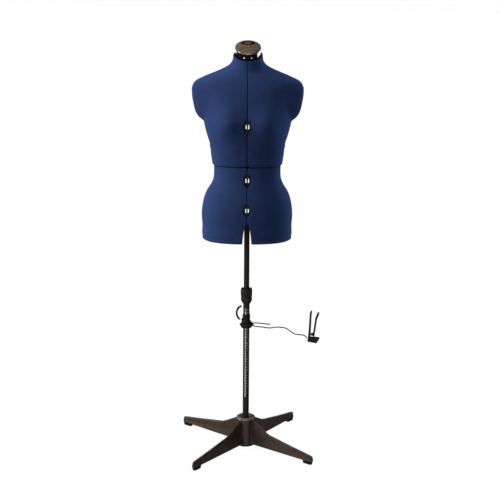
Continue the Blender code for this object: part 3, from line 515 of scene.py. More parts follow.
# ==== panels ==================================================================
def spaced(low, high, fine_spans, fine, coarse):
    """Values from low to high, close together inside the fine spans."""
    values = [low]
    while values[-1] < high - coarse / 2:
        here = values[-1]
        close = any(a - coarse <= here <= b for a, b in fine_spans)
        values.append(here + (fine if close else coarse))
    values[-1] = high
    return np.array(values)


def rounded_meet(first, second, radius):
    """The smaller of two distances, with the corner between them rounded."""
    return radius - np.hypot(np.maximum(radius - first, 0), np.maximum(radius - second, 0))


def window_distance(across, up):
    """How far a point is outside a wheel's opening, a slot with round ends."""
    rise = WINDOW[1] - WINDOW[0]
    return np.hypot(across, np.maximum(np.abs(up) - rise, 0)) - WINDOW[0]


def notch_distance(x, z):
    """Roughly how far a point is outside the arch in the hem."""
    low = RINGS["lower"][0][0]
    height = NOTCH_TOP - low
    width = NOTCH_HALF_WIDTH * (1 - NOTCH_TAPER * np.clip((z - low) / height, 0, 1))
    up = np.maximum(z - low, 0)
    q = np.sqrt((x / width) ** 2 + (up / height) ** 2)
    slope = np.hypot(x / width ** 2, up / height ** 2)
    return (q - 1) * q / np.maximum(slope, 1e-6)


def panel_span(level):
    """The heights of a panel's lower and upper edge."""
    low, high = RINGS[level][0][0], RINGS[level][-1][0]
    return (low - WAIST_PROUD, high) if level == "upper" else (low, high + WAIST_PROUD)


def edge_distance(level, facing, side, points, heights):
    """How far each point is inside the panel's outline; below zero it is cut away."""
    x, y, z = points[..., 0], np.abs(points[..., 1]), points[..., 2]
    h = heights[:, None] + 0 * x
    low, high = panel_span(level)
    limits = [y - HALF_GAP, h - low, high - h]
    for wheel in WHEELS[level]:
        limits.append(window_distance(x, z - WHEEL_HEIGHTS[wheel][facing]))
        limits.append(window_distance(y, z - WHEEL_HEIGHTS[wheel][side]))
    if level == "lower":
        limits.append(notch_distance(x, z))
    inside = x - HALF_GAP
    for limit in limits:
        inside = rounded_meet(inside, limit, CORNER_ROUND)
    return inside


def panel_grid(level, facing, side, inset, fine, coarse):
    """Points, normals, cloth coordinates and edge distance on a grid over one quarter panel."""
    low, high = panel_span(level)
    wheels = [WHEEL_HEIGHTS[w][place] for w in WHEELS[level] for place in (facing, side)]
    spans = [(z - WINDOW[1] - 0.004, z + WINDOW[1] + 0.004) for z in wheels]
    spans += [(low, low + 0.006), (high - 0.006, high)]
    spans.append((low, NOTCH_TOP + 0.006) if level == "lower" else (1.262, 1.345))
    heights = spaced(low + inset, high - inset, spans, fine, coarse)
    girth = 0.24
    border = 0.030 / girth
    shares = spaced(0.0, 1.0, [(0.0, border), (1 - border, 1.0)], fine / girth, coarse / girth)
    rows = ring_rows(level, heights)
    depth = rows[:, 3] if facing == "front" else rows[:, 4]
    start = np.arcsin(inset / (depth - HALF_GAP)) * 2 / np.pi
    end = 1 - np.arcsin(inset / (rows[:, 1] - HALF_GAP)) * 2 / np.pi
    turns = start[:, None] + (end - start)[:, None] * shares[None, :]
    points = torso_surface(level, facing, turns, heights)
    normals = torso_normals(level, facing, turns, heights)
    steps = np.linalg.norm(np.diff(points[:, ::-1], axis=1), axis=-1)
    across = np.concatenate((np.zeros((len(heights), 1)), np.cumsum(steps, axis=1)), axis=1)[:, ::-1]
    climbs = np.linalg.norm(np.diff(points[:, len(shares) // 2], axis=0), axis=-1)
    up = np.concatenate(([0.0], np.cumsum(climbs)))[:, None] + 0 * across
    distance = edge_distance(level, facing, side, points, heights) - inset
    return np.concatenate((points, normals, across[..., None], up[..., None], distance[..., None]), axis=-1)


def trimmed(grid):
    """Vertices and faces of the grid where its last number, the edge distance, isn't negative."""
    rows, columns, _ = grid.shape
    flat = grid.reshape(-1, grid.shape[-1])
    keep = flat[:, -1] > -5e-5
    rows_out, number, crossing = [], {}, {}

    def vertex(k):
        if k not in number:
            number[k] = len(rows_out)
            rows_out.append(flat[k])
        return number[k]

    def between(a, b):
        key = (min(a, b), max(a, b))
        if key not in crossing:
            t = flat[a, -1] / (flat[a, -1] - flat[b, -1])
            crossing[key] = len(rows_out)
            rows_out.append(flat[a] + (flat[b] - flat[a]) * t)
        return crossing[key]

    faces = []
    for r in range(rows - 1):
        for c in range(columns - 1):
            ring = [r * columns + c, r * columns + c + 1, (r + 1) * columns + c + 1, (r + 1) * columns + c]
            held = [keep[k] for k in ring]
            if not any(held):
                continue
            face = []
            for k in range(4):
                here, after = ring[k], ring[(k + 1) % 4]
                if held[k]:
                    face.append(vertex(here))
                if held[k] != held[(k + 1) % 4]:
                    face.append(between(here, after))
            if len(face) > 2:
                faces.append(face)
    return np.array(rows_out), faces


def merged(data, faces, distance):
    """Merge vertices closer than the distance; those on the outline keep their places."""
    bm = bmesh.new()
    layer = bm.verts.layers.int.new("row")
    verts = []
    for k, row in enumerate(data):
        vert = bm.verts.new(row[:3])
        vert[layer] = k
        verts.append(vert)
    for face in faces:
        bm.faces.new([verts[k] for k in face])
    rim = [v for v in bm.verts if v.is_boundary]
    bmesh.ops.remove_doubles(bm, verts=rim, dist=distance)
    rim = [v for v in bm.verts if v.is_boundary]
    doubles = bmesh.ops.find_doubles(bm, verts=bm.verts, keep_verts=rim, dist=distance)
    bmesh.ops.weld_verts(bm, targetmap=doubles["targetmap"])
    bm.verts.index_update()
    rows = [v[layer] for v in bm.verts]
    kept = [[v.index for v in f.verts] for f in bm.faces]
    bm.free()
    return data[rows], kept


def border_loops(faces):
    """The closed loops of edges that only one face uses, in the faces' own direction."""
    used = {}
    for face in faces:
        for a, b in zip(face, face[1:] + face[:1]):
            used[(a, b)] = used.get((a, b), 0) + 1
    after = {a: b for a, b in used if (b, a) not in used}
    loops = []
    while after:
        start, here = next(iter(after.items()))
        loop = [start]
        del after[start]
        while here != start:
            loop.append(here)
            here = after.pop(here)
        loops.append(loop)
    return loops


def rolled_edge(data, faces, facing):
    """Add the strip that turns round the panel's edge and runs down beside the shell."""
    arc = [math.radians(a) for a in (22.5, 45, 67.5, 90)]
    profile = [(EDGE_ROLL * math.sin(a), EDGE_ROLL * (1 - math.cos(a)), EDGE_ROLL * a) for a in arc]
    for depth in (0.5 * (EDGE_ROLL + EDGE_DEPTH), EDGE_DEPTH):
        profile.append((EDGE_ROLL, depth, profile[-1][2] + depth - profile[-1][1]))
    rows = [data]
    made = len(data)
    strips = []
    for loop in border_loops(faces):
        points, normals = data[loop, :3], data[loop, 3:6]
        along = np.roll(points, -1, axis=0) - points
        along /= np.linalg.norm(along, axis=1, keepdims=True)
        out = np.cross(along, normals)
        out /= np.linalg.norm(out, axis=1, keepdims=True)
        before = np.roll(out, 1, axis=0)
        lean = 1 + np.sum(out * before, axis=1, keepdims=True)
        outward = (out + before) / np.maximum(lean, 0.7)
        sideways = np.cross((0, 0, 1.0), normals) * (1 if facing == "front" else -1)
        cloth = np.stack((np.sum(outward * sideways, axis=1), outward[:, 2]), axis=1)
        previous = list(loop)
        for shift, depth, length in profile:
            ring = data[loop].copy()
            ring[:, :3] = points + outward * shift - normals * depth
            ring[:, 6:8] += cloth * length
            rows.append(ring)
            current = list(range(made, made + len(loop)))
            made += len(loop)
            for k in range(len(loop)):
                n = (k + 1) % len(loop)
                strips.append([previous[n], previous[k], current[k], current[n]])
            previous = current
    return np.concatenate(rows), faces + strips


def panel_bmesh(data, faces, side):
    """The left half's vertices and faces as a bmesh, mirrored for the right side."""
    flip = 1 if side == "left" else -1
    bm = bmesh.new()
    verts = [bm.verts.new((flip * row[0], row[1], row[2])) for row in data]
    uv = bm.loops.layers.uv.new("cloth")
    index = {vert: k for k, vert in enumerate(verts)}
    for face in faces:
        ring = [verts[k] for k in face]
        if len(set(ring)) < 3:
            continue
        made = bm.faces.new(ring[::-1] if side == "right" else ring)
        for loop in made.loops:
            loop[uv].uv = data[index[loop.vert], 6:8]
    return bm


def build_cover(level, facing, side):
    inset = EDGE_ROLL - EDGE_PROUD
    data, faces = trimmed(panel_grid(level, facing, side, inset, 0.0024, 0.0062))
    data, faces = merged(data, faces, 0.0005)
    faces = [face[::-1] for face in faces] if facing == "front" else faces
    data, faces = rolled_edge(data, faces, facing)
    name = f"{level}_{facing}_{side}"
    bm = panel_bmesh(data, faces, side)
    cover = add_piece(f"{name}_knit", bm, "cloth", f"{name}_panel", [f"{name}_cover"],
                      sharp=60.0, recalc=False)
    skin = cover.modifiers.new("cloth_thickness", "SOLIDIFY")
    skin.thickness = CLOTH_THICKNESS
    skin.offset = -1


def side_frame(side, reach, height):
    """Local axes on one side: X across the gap, Y up, Z outwards."""
    dx, dy = SIDES[side]
    return Matrix(((-dy, 0, dx, dx * reach), (dx, 0, dy, dy * reach), (0, 1, 0, height), (0, 0, 0, 1)))


def spun(degrees, axis):
    return Matrix.Rotation(math.radians(degrees), 4, axis)


def shifted(*at):
    return Matrix.Translation(at)


def nut_block(level, facing, side, wheel, at_side):
    """The bored block behind a panel's edge that a wheel's spindle runs through."""
    place = side if at_side else facing
    middle = WHEEL_HEIGHTS[wheel][place]
    reach = reach_at(level, place, middle)
    depth = WHEEL_DEPTHS[place]
    offset = SIDES[facing][1] if at_side else SIDES[side][0]
    dx, dy = SIDES[place]
    toward = offset * (dx if at_side else -dy)
    low, high = sorted((toward * NUT_BLOCK[0], toward * NUT_BLOCK[1]))
    drop = reach - reach_at(level, place, middle, sum(NUT_BLOCK) / 2)
    top, bottom = -0.0045 - drop, -0.0258
    centre = (top + bottom) / 2
    outer = [(x, centre + z) for x, z in squircle(0.0079, (top - bottom) / 2)]
    inner = [(x, z - depth) for x, z in squircle(SPINDLE_BORE, SPINDLE_BORE, 2.0)]
    soft = [(x * 0.94, centre + (z - centre) * 0.96) for x, z in outer]
    rings = [(soft, low), (outer, low + 0.0006), (outer, high - 0.0006), (soft, high), (inner, high),
             (inner, low)]
    block = lofted([[(at, y, z) for y, z in ring] for ring, at in rings], closed=True)
    return moved(block, side_frame(place, reach, middle))


def build_shell(level, facing, side):
    data, faces = trimmed(panel_grid(level, facing, side, SHELL_INSET, 0.0045, 0.0090))
    data, faces = merged(data, faces, 0.0009)
    faces = [face[::-1] for face in faces] if facing == "front" else faces
    data[:, :3] -= data[:, 3:6] * SHELL_DEPTH
    bm = panel_bmesh(data, faces, side)
    bmesh.ops.solidify(bm, geom=bm.faces, thickness=SHELL_THICKNESS)
    blocks = [nut_block(level, facing, side, wheel, at_side)
              for wheel in WHEELS[level] for at_side in (False, True)]
    name = f"{level}_{facing}_{side}"
    add_piece(f"{name}_moulding", joined(bm, *blocks), "shell", f"{name}_panel", [f"{name}_shell"],
              sharp=40.0)


def cup_bmesh(depth):
    """A wheel's cup: a deep stadium tray with a rolled lip."""
    wall = CUP_WALL
    lip = -CUP_SINK
    profile = [(0.0006, -depth - CUP_FLOOR), (0.0, -depth - CUP_FLOOR + 0.0006), (0.0, lip - 0.0004),
               (0.00015, lip - 0.0001), (0.0004, lip), (wall - 0.0004, lip), (wall - 0.0001, lip - 0.0001),
               (wall, lip - 0.0004), (wall, -depth + 0.0012), (wall + 0.0004, -depth + 0.0004),
               (wall + 0.0012, -depth)]
    return lofted([at_height(stadium(CUP[0] - inset, CUP[1] - inset), z) for inset, z in profile])


def face_plate():
    """The plate in the cup's mouth, with the slot that the wheel looks out of."""
    outer = stadium(CUP[0] - CUP_WALL / 2, CUP[1] - CUP_WALL / 2)
    slot = squircle(*SLOT, 5.0, len(outer))
    mouth = squircle(SLOT[0] + 0.0005, SLOT[1] + 0.0005, 5.0, len(outer))
    front, back = (-depth for depth in PLATE_DEPTHS)
    rings = [(outer, back), (outer, front), (mouth, front), (slot, front - 0.0004), (slot, back)]
    return lofted([at_height(ring, z) for ring, z in rings], closed=True)


def build_cup(level, side, wheel):
    """The cup as an object, with the spindle's holes cut through its walls."""
    height = WHEEL_HEIGHTS[wheel][side]
    place = side_frame(side, reach_at(level, side, height), height)
    cup = solid(moved(cup_bmesh(WHEEL_DEPTHS[side] + WHEEL_RADIUS + 0.0015), place))
    hole = turned([(0, -0.016), (SPINDLE_BORE, -0.016), (SPINDLE_BORE, 0.016), (0, 0.016)], 24)
    cut(cup, solid(moved(hole, place @ shifted(0, 0, -WHEEL_DEPTHS[side]) @ spun(90, "Y"))))
    bm = bmesh.new()
    bm.from_mesh(cup.data)
    bpy.data.objects.remove(cup)
    return joined(bm, moved(face_plate(), place))


def sleeve_end(level, side):
    return reach_at(level, side, ARM_LEVELS[level]) - STRAP_DEPTHS[1] + 0.001


def sleeve_bmesh(level, side):
    """A square sleeve with ribs round both ends, closed at the outer end."""
    half, bore, length, rib = SLEEVE_HALF, SLEEVE_BORE, SLEEVE_LENGTH, 0.0012
    steps = [(0.0, -0.0005), (0.0006, 0.0), (0.0050, 0.0), (0.0054, -rib), (length - 0.0080, -rib),
             (length - 0.0074, 0.0), (length - 0.0006, 0.0), (length, -0.0005)]
    rings = [(length - 0.0040, bore), (0.0, bore), *((z, half + grow) for z, grow in steps),
             (length, 0.1 * half)]
    place = side_frame(side, sleeve_end(level, side) - length, ARM_LEVELS[level])
    return moved(lofted([at_height(squircle(size, size, 8.0), z) for z, size in rings]), place)


def strap_bmesh(level, side):
    """The rib-edged strip behind the gap that ties cups and sleeve together."""
    heights = [WHEEL_HEIGHTS[w][side] for w in WHEELS[level]] + [ARM_LEVELS[level]]
    low, high = min(heights), max(heights)
    low = low - SLEEVE_HALF if low == ARM_LEVELS[level] else low
    dx, dy = SIDES[side]
    half, rib = STRAP_HALF_WIDTH, 0.0014
    outline = [(-half, 0), (-half, 1), (-half + rib, 1), (-half + 1.5 * rib, 0.6), (half - 1.5 * rib, 0.6),
               (half - rib, 1), (half, 1), (half, 0)]
    sections = []
    for z in np.linspace(low, high, 25):
        reach = reach_at(level, side, z)
        outer, inner = (reach - depth for depth in STRAP_DEPTHS)
        section = [(w, inner + (outer - inner) * t) for w, t in outline]
        sections.append([(r * dx - w * dy, r * dy + w * dx, z) for w, r in section])
    return lofted(sections)


def build_carriage(level, side):
    name = f"{level}_{side}_carriage"
    cups = [build_cup(level, side, wheel) for wheel in WHEELS[level]]
    whole = joined(sleeve_bmesh(level, side), strap_bmesh(level, side), *cups)
    add_piece(f"{name}_moulding", whole, "frame", name, [name], sharp=35.0)


def wheel_bmesh():
    """Two knurled rims with a bright band on each, on a threaded spindle."""
    rim, half, lip = WHEEL_RADIUS, WHEEL_HALF_WIDTH, 0.0022
    groove = rim - 0.0024

    def knurl(angle, radius, height):
        return faint(angle, radius, height, 0.016) if radius > rim - 0.0012 else 1.0

    def faint(angle, radius, height, depth=0.004):
        return 1 - depth * (0.5 - 0.5 * math.cos(WHEEL_TEETH * angle))

    profile = [(0.0030, half - 0.0008), (0.0052, half - 0.0008), (0.0058, half - 0.0014),
               (0.0105, half - 0.0014), (0.0112, half), (rim - 0.0008, half), (rim, half - 0.0008),
               (rim, lip + 0.0006), (rim - 0.0005, lip), (groove, lip - 0.0002)]
    disc = turned(profile + [(r, -h) for r, h in reversed(profile)], 4 * WHEEL_TEETH, knurl)
    bands = []
    for sign in (-1, 1):
        middle, reach = sign * (half + lip) / 2, (half - lip) / 2 - 0.0003
        arch = [(rim + 0.0001 - 0.0003 * t ** 6, middle + t * reach) for t in np.linspace(-1, 1, 9)]
        band = turned([(rim - 0.0012, middle - reach), *arch, (rim - 0.0012, middle + reach)],
                      4 * WHEEL_TEETH, faint)
        bands.append(painted(band, 1))
    thread = [(0, -SPINDLE_HALF_LENGTH)]
    for k in range(THREAD_TURNS):
        z = -SPINDLE_HALF_LENGTH + k * THREAD_PITCH
        thread += [(SPINDLE_RADIUS - 0.0003, z), (SPINDLE_RADIUS, z + THREAD_PITCH / 2)]
    thread += [(r, -z) for r, z in reversed(thread)]
    return joined(disc, *bands, painted(turned(thread, 24), 2))


def build_wheels(level):
    shape = wheel_bmesh()
    for wheel in WHEELS[level]:
        for side in SIDES:
            name = f"{wheel}_{side}_wheel"
            height = WHEEL_HEIGHTS[wheel][side]
            reach = reach_at(level, side, height) - WHEEL_DEPTHS[side]
            bm = moved(shape.copy(), side_frame(side, reach, height) @ spun(90, "Y"))
            add_piece(f"{name}_turned", bm, "wheel bright steel", name, [name], sharp=50.0)
    shape.free()


def build_spider(level):
    """The hub on the inner tube and its four ribbed arms; the upper one has the neck post."""
    height = ARM_LEVELS[level]
    low, bore, radius = height - 0.025, SPIDER_BORE, SPIDER_RADIUS
    top = POST_FOOT if level == "upper" else height + 0.024
    collar = [(bore, low), (radius, low), (radius + 0.0012, low + 0.0012), (radius + 0.0012, low + 0.0075),
              (radius, low + 0.0090), (radius, top - 0.0090), (radius + 0.0012, top - 0.0075),
              (radius + 0.0012, top - 0.0012), (radius, top)]
    if level == "upper":
        post = [(POST_RADIUS, top + 0.008), (POST_RADIUS, POST_TOP - 0.0006),
                (POST_RADIUS - 0.0006, POST_TOP), (0, POST_TOP), (0, top - 0.004)]
        outline = collar + post + [(bore, top - 0.004)]
    else:
        outline = collar + [(bore, top)]
    parts = [turned(outline, 48)]
    for side in SIDES:
        end = sleeve_end(level, side) - 0.006
        start = bore + 0.002
        flare = [(start, 0.0024), (radius + 0.001, 0.0022), (radius + 0.006, 0.0), (end - 0.0008, 0.0),
                 (end, -0.0006)]
        bar = lofted([at_height(squircle(0.005 + grow, 0.005 + grow, 7.0), z) for z, grow in flare])
        parts.append(moved(bar, side_frame(side, 0.0, height)))
    add_piece(f"{level}_spider_moulding", joined(*parts), "frame", f"{level}_core", [f"{level}_spider"],
              sharp=35.0)


# ==== neck ====================================================================
CAP_CENTRE = (0.0, -0.0100, 1.4075)
CAP_RADIUS = 0.0430
CAP_THICKNESS = 0.0080
STEM_RINGS = (
    (0.0000, 1.3400, 12.0, 0.0385),
    (0.0000, 1.3500, 18.0, 0.0400),
    (0.0008, 1.3680, 24.0, 0.0405),
    (0.0000, 1.3880, CAP_TILT, 0.0410),
    (-0.0056, 1.3991, CAP_TILT, 0.0412),
    (-0.0061, 1.4000, CAP_TILT, 0.0402),
)
SCREW_AT = (-0.0020, 1.3905)
SCREW_AZIMUTHS = (-107.0, -73.0)
SCREW_REACH = 0.0410        # from the stem's axis
BADGE_SIZE = (0.0225, 0.0106)
BADGE_OFFSET = 0.0165


def tilted(at, degrees):
    return shifted(*at) @ spun(degrees, "X")


def build_neck():
    lean = tilted(CAP_CENTRE, CAP_TILT)
    under = -CAP_THICKNESS
    edge = [(CAP_RADIUS - inset, z) for inset, z in (
        (0.0018, under), (0.0006, under + 0.0004), (0.0, under + 0.0018), (0.0, -0.0040), (0.0006, -0.0022),
        (0.0022, -0.0008), (0.0050, 0.0002), (0.0065, 0.0004), (0.0072, 0.0002))]
    crown = [(r, 0.0030 * (1 - (r / CAP_RADIUS) ** 2)) for r in np.linspace(0.034, 0.0, 9)]
    cap = turned([(0, under), *edge, *crown], 128)
    add_piece("neck_cap_turned", moved(cap, lean), "cap", "upper_core", ["neck_cap"], sharp=50.0)
    oval = squircle(BADGE_SIZE[0], BADGE_SIZE[1], 2.0, 64)
    rim = [(1.0, 0.0002), (1.0, 0.0032), (0.96, 0.0037), (0.72, 0.0037), (0.68, 0.0032), (0.3, 0.0032)]
    field = [(0.56, 0.0030), (0.56, 0.0036), (0.52, 0.0039), (0.20, 0.0040)]
    parts = [lofted([[(x * share, BADGE_OFFSET + y * share, z) for x, y in oval] for share, z in rings])
             for rings in (rim, field)]
    badge = joined(parts[0], painted(parts[1], 1))
    add_piece("neck_cap_badge", moved(badge, lean), "badge cap", "upper_core")
    sections = []
    table = np.array(STEM_RINGS)
    for z in (*np.linspace(1.3400, 1.3880, 16), *np.linspace(1.3892, 1.3985, 6), 1.3991, 1.39965, 1.4000):
        y, tilt, radius = (np.interp(z, table[:, 1], table[:, k]) for k in (0, 2, 3))
        place = tilted((0, y, z), tilt)
        sections.append([place @ Vector(p) for p in at_height(squircle(radius, radius, 2.0, 96), 0)])
    add_piece("neck_stem_turned", lofted(sections), "stem", "upper_core", ["neck_stem"], sharp=50.0)
    build_screws()


def build_screws():
    """Two round-headed screws in dark cups on the front of the stem."""
    lean = tilted((0, SCREW_AT[0], SCREW_AT[1]), CAP_TILT)
    parts = []
    for azimuth in SCREW_AZIMUTHS:
        place = lean @ spun(azimuth, "Z") @ spun(90, "Y") @ shifted(0, 0, SCREW_REACH)
        head = [(0.0030 * math.sin(a), 0.0012 + 0.0024 * math.cos(a))
                for a in np.linspace(math.pi / 2, 0, 9)]
        screw = turned([(0, -0.002), (0.0030, -0.002), *head[:-1], (0, 0.0036)], 32)
        washer = turned([(0.0030, -0.002), (0.0046, -0.002), (0.0046, 0.0006), (0.0042, 0.0010),
                         (0.0030, 0.0010)], 32)
        parts += [moved(painted(screw, 1), place), moved(washer, place)]
    add_piece("neck_screws", joined(*parts), "wheel bright", "upper_core", sharp=40.0)


# ==== pole ====================================================================
OUTER_TUBE_RADIUS = 0.0111
OUTER_TUBE_BORE = 0.0099
OUTER_TUBE_SPAN = (0.012, 0.5485)
INNER_TUBE_RADIUS = 0.0095
INNER_TUBE_BORE = 0.0083
INNER_TUBE_SPAN = (0.270, 1.145)
SOCKET_SPAN = (0.525, 0.551)
THREAD_TOP = 0.5720         # of the socket, inside the lock nut
NUT_SPAN = (0.5525, 0.581)
NUT_SEAT = 0.5735           # the nut's roof over the socket
NUT_RADIUS = 0.0200
NUT_LOBES = 8
SCALE_SPAN = (0.183, 0.510)
SCALE_LIFT = 0.00008


def tube_bmesh(span, bore, radius):
    low, high = span
    ease = 0.0003
    return turned([(bore, low + ease), (bore + ease, low), (radius - ease, low), (radius, low + ease),
                   (radius, high - ease), (radius - ease, high), (bore + ease, high),
                   (bore, high - ease)], 96)


def wrapped(x, z):
    """A point of a flat print laid round the front of the outer tube."""
    radius = OUTER_TUBE_RADIUS + SCALE_LIFT
    return radius * math.sin(x / radius), -radius * math.cos(x / radius), z


def tick(bm, x_low, x_high, z, half):
    """One printed line of the scale."""
    columns = [x_low + (x_high - x_low) * k / 3 for k in range(4)]
    rows = [[bm.verts.new(wrapped(x, edge)) for x in columns] for edge in (z - half, z + half)]
    for k in range(3):
        bm.faces.new((rows[0][k], rows[0][k + 1], rows[1][k + 1], rows[1][k]))


def number(bm, text, x, z, size):
    """A printed number, starting at x and centred on the height."""
    curve = bpy.data.curves.new("number", "FONT")
    curve.body = text
    curve.size = size
    curve.align_x = "LEFT"
    curve.align_y = "CENTER"
    obj = linked("number", curve)
    mesh = evaluated(obj)
    for vertex in mesh.vertices:
        vertex.co = wrapped(x + vertex.co.x, z + vertex.co.y)
    bm.from_mesh(mesh)
    bpy.data.meshes.remove(mesh)
    bpy.data.objects.remove(obj)
    bpy.data.curves.remove(curve)


def build_scale():
    bm = bmesh.new()
    low, high = SCALE_SPAN
    step = 0.002
    count = int((high - low) / step)
    for k in range(count + 1):
        whole = k % 5 == 0
        tick(bm, -0.0048, 0.0 if whole else -0.0012, low + k * step, 0.0007 if whole else 0.0006)
        if whole and k:
            number(bm, f"{round(k * step * 100)}", 0.0005, low + k * step, 0.0062)
    add_piece("tube_scale", bm, "print", "stand", recalc=False)


def grip(angle, radius, height):
    """Flutes round the lock nut."""
    if radius < 0.93 * NUT_RADIUS:
        return 1.0
    wave = 0.5 - 0.5 * math.cos(2 * NUT_LOBES * angle)
    return 1.0 - 0.055 * wave ** 3


def nut_bmesh():
    low, high = NUT_SPAN
    throat = INNER_TUBE_RADIUS + 0.0005
    big = NUT_RADIUS
    bm = turned([(0.0155, low), (0.0184, low), (big - 0.0006, low + 0.0008), (big, low + 0.0022),
                 (big, low + 0.0060), (big - 0.0007, low + 0.0066), (big - 0.0007, low + 0.0076),
                 (big, low + 0.0082), (big, high - 0.0070), (big - 0.0004, high - 0.0030),
                 (0.0192, high - 0.0006), (0.0186, high), (0.0164, high), (0.0158, high - 0.0006),
                 (0.0145, high - 0.0042), (throat, high - 0.0042), (throat, NUT_SEAT),
                 (0.0155, NUT_SEAT)], 160, grip)
    for vert in bm.verts:
        if vert.co.z > high - 0.0035:
            wave = math.cos(NUT_LOBES * math.atan2(vert.co.y, vert.co.x))
            drop = 0.0032 * min(max(0.5 + 1.6 * wave, 0.0), 1.0)
            vert.co.z -= drop * (vert.co.z - high + 0.0035) / 0.0035
    return bm


def socket_bmesh():
    bottom, top = SOCKET_SPAN
    bore = OUTER_TUBE_RADIUS + 0.0003
    throat = INNER_TUBE_RADIUS + 0.0005
    flange = OUTER_TUBE_SPAN[1] + 0.0003

    def flute(angle, radius, height):
        span = bottom + 0.0020 < height < bottom + 0.0100
        return 1 - 0.03 * (0.5 + 0.5 * math.cos(16 * angle)) ** 2 if span and radius > 0.0125 else 1.0

    profile = [(bore, bottom), (0.0132, bottom), (0.0138, bottom + 0.0006)]
    profile += [(0.0138 + 0.0047 * t * t, bottom + 0.0006 + 0.0084 * t) for t in np.linspace(0.15, 1, 8)]
    profile += [(0.0190, bottom + 0.0110), (0.0193, bottom + 0.0140), (0.0193, top - 0.0030),
                (0.0190, top - 0.0012), (0.0180, top), (0.0150, top), (0.0150, THREAD_TOP - 0.0006),
                (0.0144, THREAD_TOP), (throat, THREAD_TOP), (throat, flange), (bore, flange)]
    return turned(profile, 128, flute)


def build_pole():
    outer = tube_bmesh(OUTER_TUBE_SPAN, OUTER_TUBE_BORE, OUTER_TUBE_RADIUS)
    inner = tube_bmesh(INNER_TUBE_SPAN, INNER_TUBE_BORE, INNER_TUBE_RADIUS)
    add_piece("outer_tube_drawn", outer, "pole", "stand", ["outer_tube"])
    add_piece("inner_tube_drawn", inner, "pole", "column", ["inner_tube"])
    add_piece("lock_socket_moulding", socket_bmesh(), "lock", "stand", ["lock_socket"], sharp=35.0)
    add_piece("lock_nut_moulding", nut_bmesh(), "lock", "lock_nut", ["lock_nut"], sharp=35.0)
    build_scale()


# ==== base ====================================================================
LEG_AZIMUTHS = (-37.6, 52.4, 142.4, 232.4)
LEG_NAMES = ("front_left", "back_left", "back_right", "front_right")
LEG_TIP = 0.291
LEG_UNDERSIDE = 0.0103
LEG_WIDTHS = (0.013, 0.008)
LEG_TOP_HALF_WIDTH = 0.0035
LEG_LINE = ((0.0333, 0.0960), (0.0890, 0.0665), (0.1010, 0.0610), (0.1160, 0.0580), (0.2000, 0.0440),
            (0.2830, 0.0315), (0.2890, 0.0290), (0.2910, 0.0250))
FOOT_HEIGHT = 0.010
HUB_RADIUS = 0.033
HUB_HEIGHT = 0.098
HUB_COLLAR_TOP = 0.105


def leg_bmesh():
    """A tapered blade with hollowed flanks and a rounded ridge, flared where it meets the hub."""
    line = np.array(LEG_LINE)
    root = HUB_RADIUS - 0.0010
    stations = np.concatenate((np.linspace(root, 0.060, 12), np.linspace(0.063, 0.279, 48),
                               np.linspace(0.281, LEG_TIP, 9)))
    sections = []
    for x in stations:
        kernel = np.clip(x + np.linspace(-0.006, 0.006, 13), line[0, 0], LEG_TIP - 0.0002)
        near_end = x > 0.276
        top = float(np.interp(x, *line.T) if near_end else np.mean(np.interp(kernel, *line.T)))
        share = (x - root) / (LEG_TIP - root)
        foot = LEG_WIDTHS[0] + (LEG_WIDTHS[1] - LEG_WIDTHS[0]) * share
        flare = 0.0035 * math.exp(-(x - root) / 0.006)
        tip = 1 - 0.35 * max(0.0, (x - LEG_TIP + 0.008) / 0.008) ** 2
        foot, ridge = (foot + flare) * tip, (LEG_TOP_HALF_WIDTH + 0.6 * flare) * tip
        waist = ridge + (foot - ridge) * 0.42
        middle = LEG_UNDERSIDE + (top - LEG_UNDERSIDE) * 0.45
        half = [(foot - 0.0006, LEG_UNDERSIDE, 0.0012), (foot, LEG_UNDERSIDE + 0.0024, 0.0012),
                (waist, middle, 0.0060), (ridge + 0.0012, top - 0.0032, 0.0015),
                (ridge - 0.0008, top, 0.0016)]
        outline = rounded([*half, *((-y, z, r) for y, z, r in reversed(half))], 0.001, 3)
        sections.append([(float(x), y, z) for y, z in outline])
    return lofted(sections)


def foot_bmesh():
    """A rubber pad with a stepped side and treads underneath."""
    centre, reach, half = LEG_TIP - 0.020, 0.0115, 0.0078
    outline = [(centre + x, y) for y, x in stadium(half, reach + half, 16)]

    def ring(share, z):
        return [(centre + (x - centre) * share, y * share, z) for x, y in outline]

    steps = [(0.80, 0.0), (0.90, 0.0), (0.935, 0.0008), (0.955, 0.0040), (0.925, 0.0046), (0.925, 0.0054),
             (0.96, 0.0060), (1.0, 0.0090), (1.0, 0.0097), (0.98, FOOT_HEIGHT)]
    return lofted([ring(share, z) for share, z in steps])


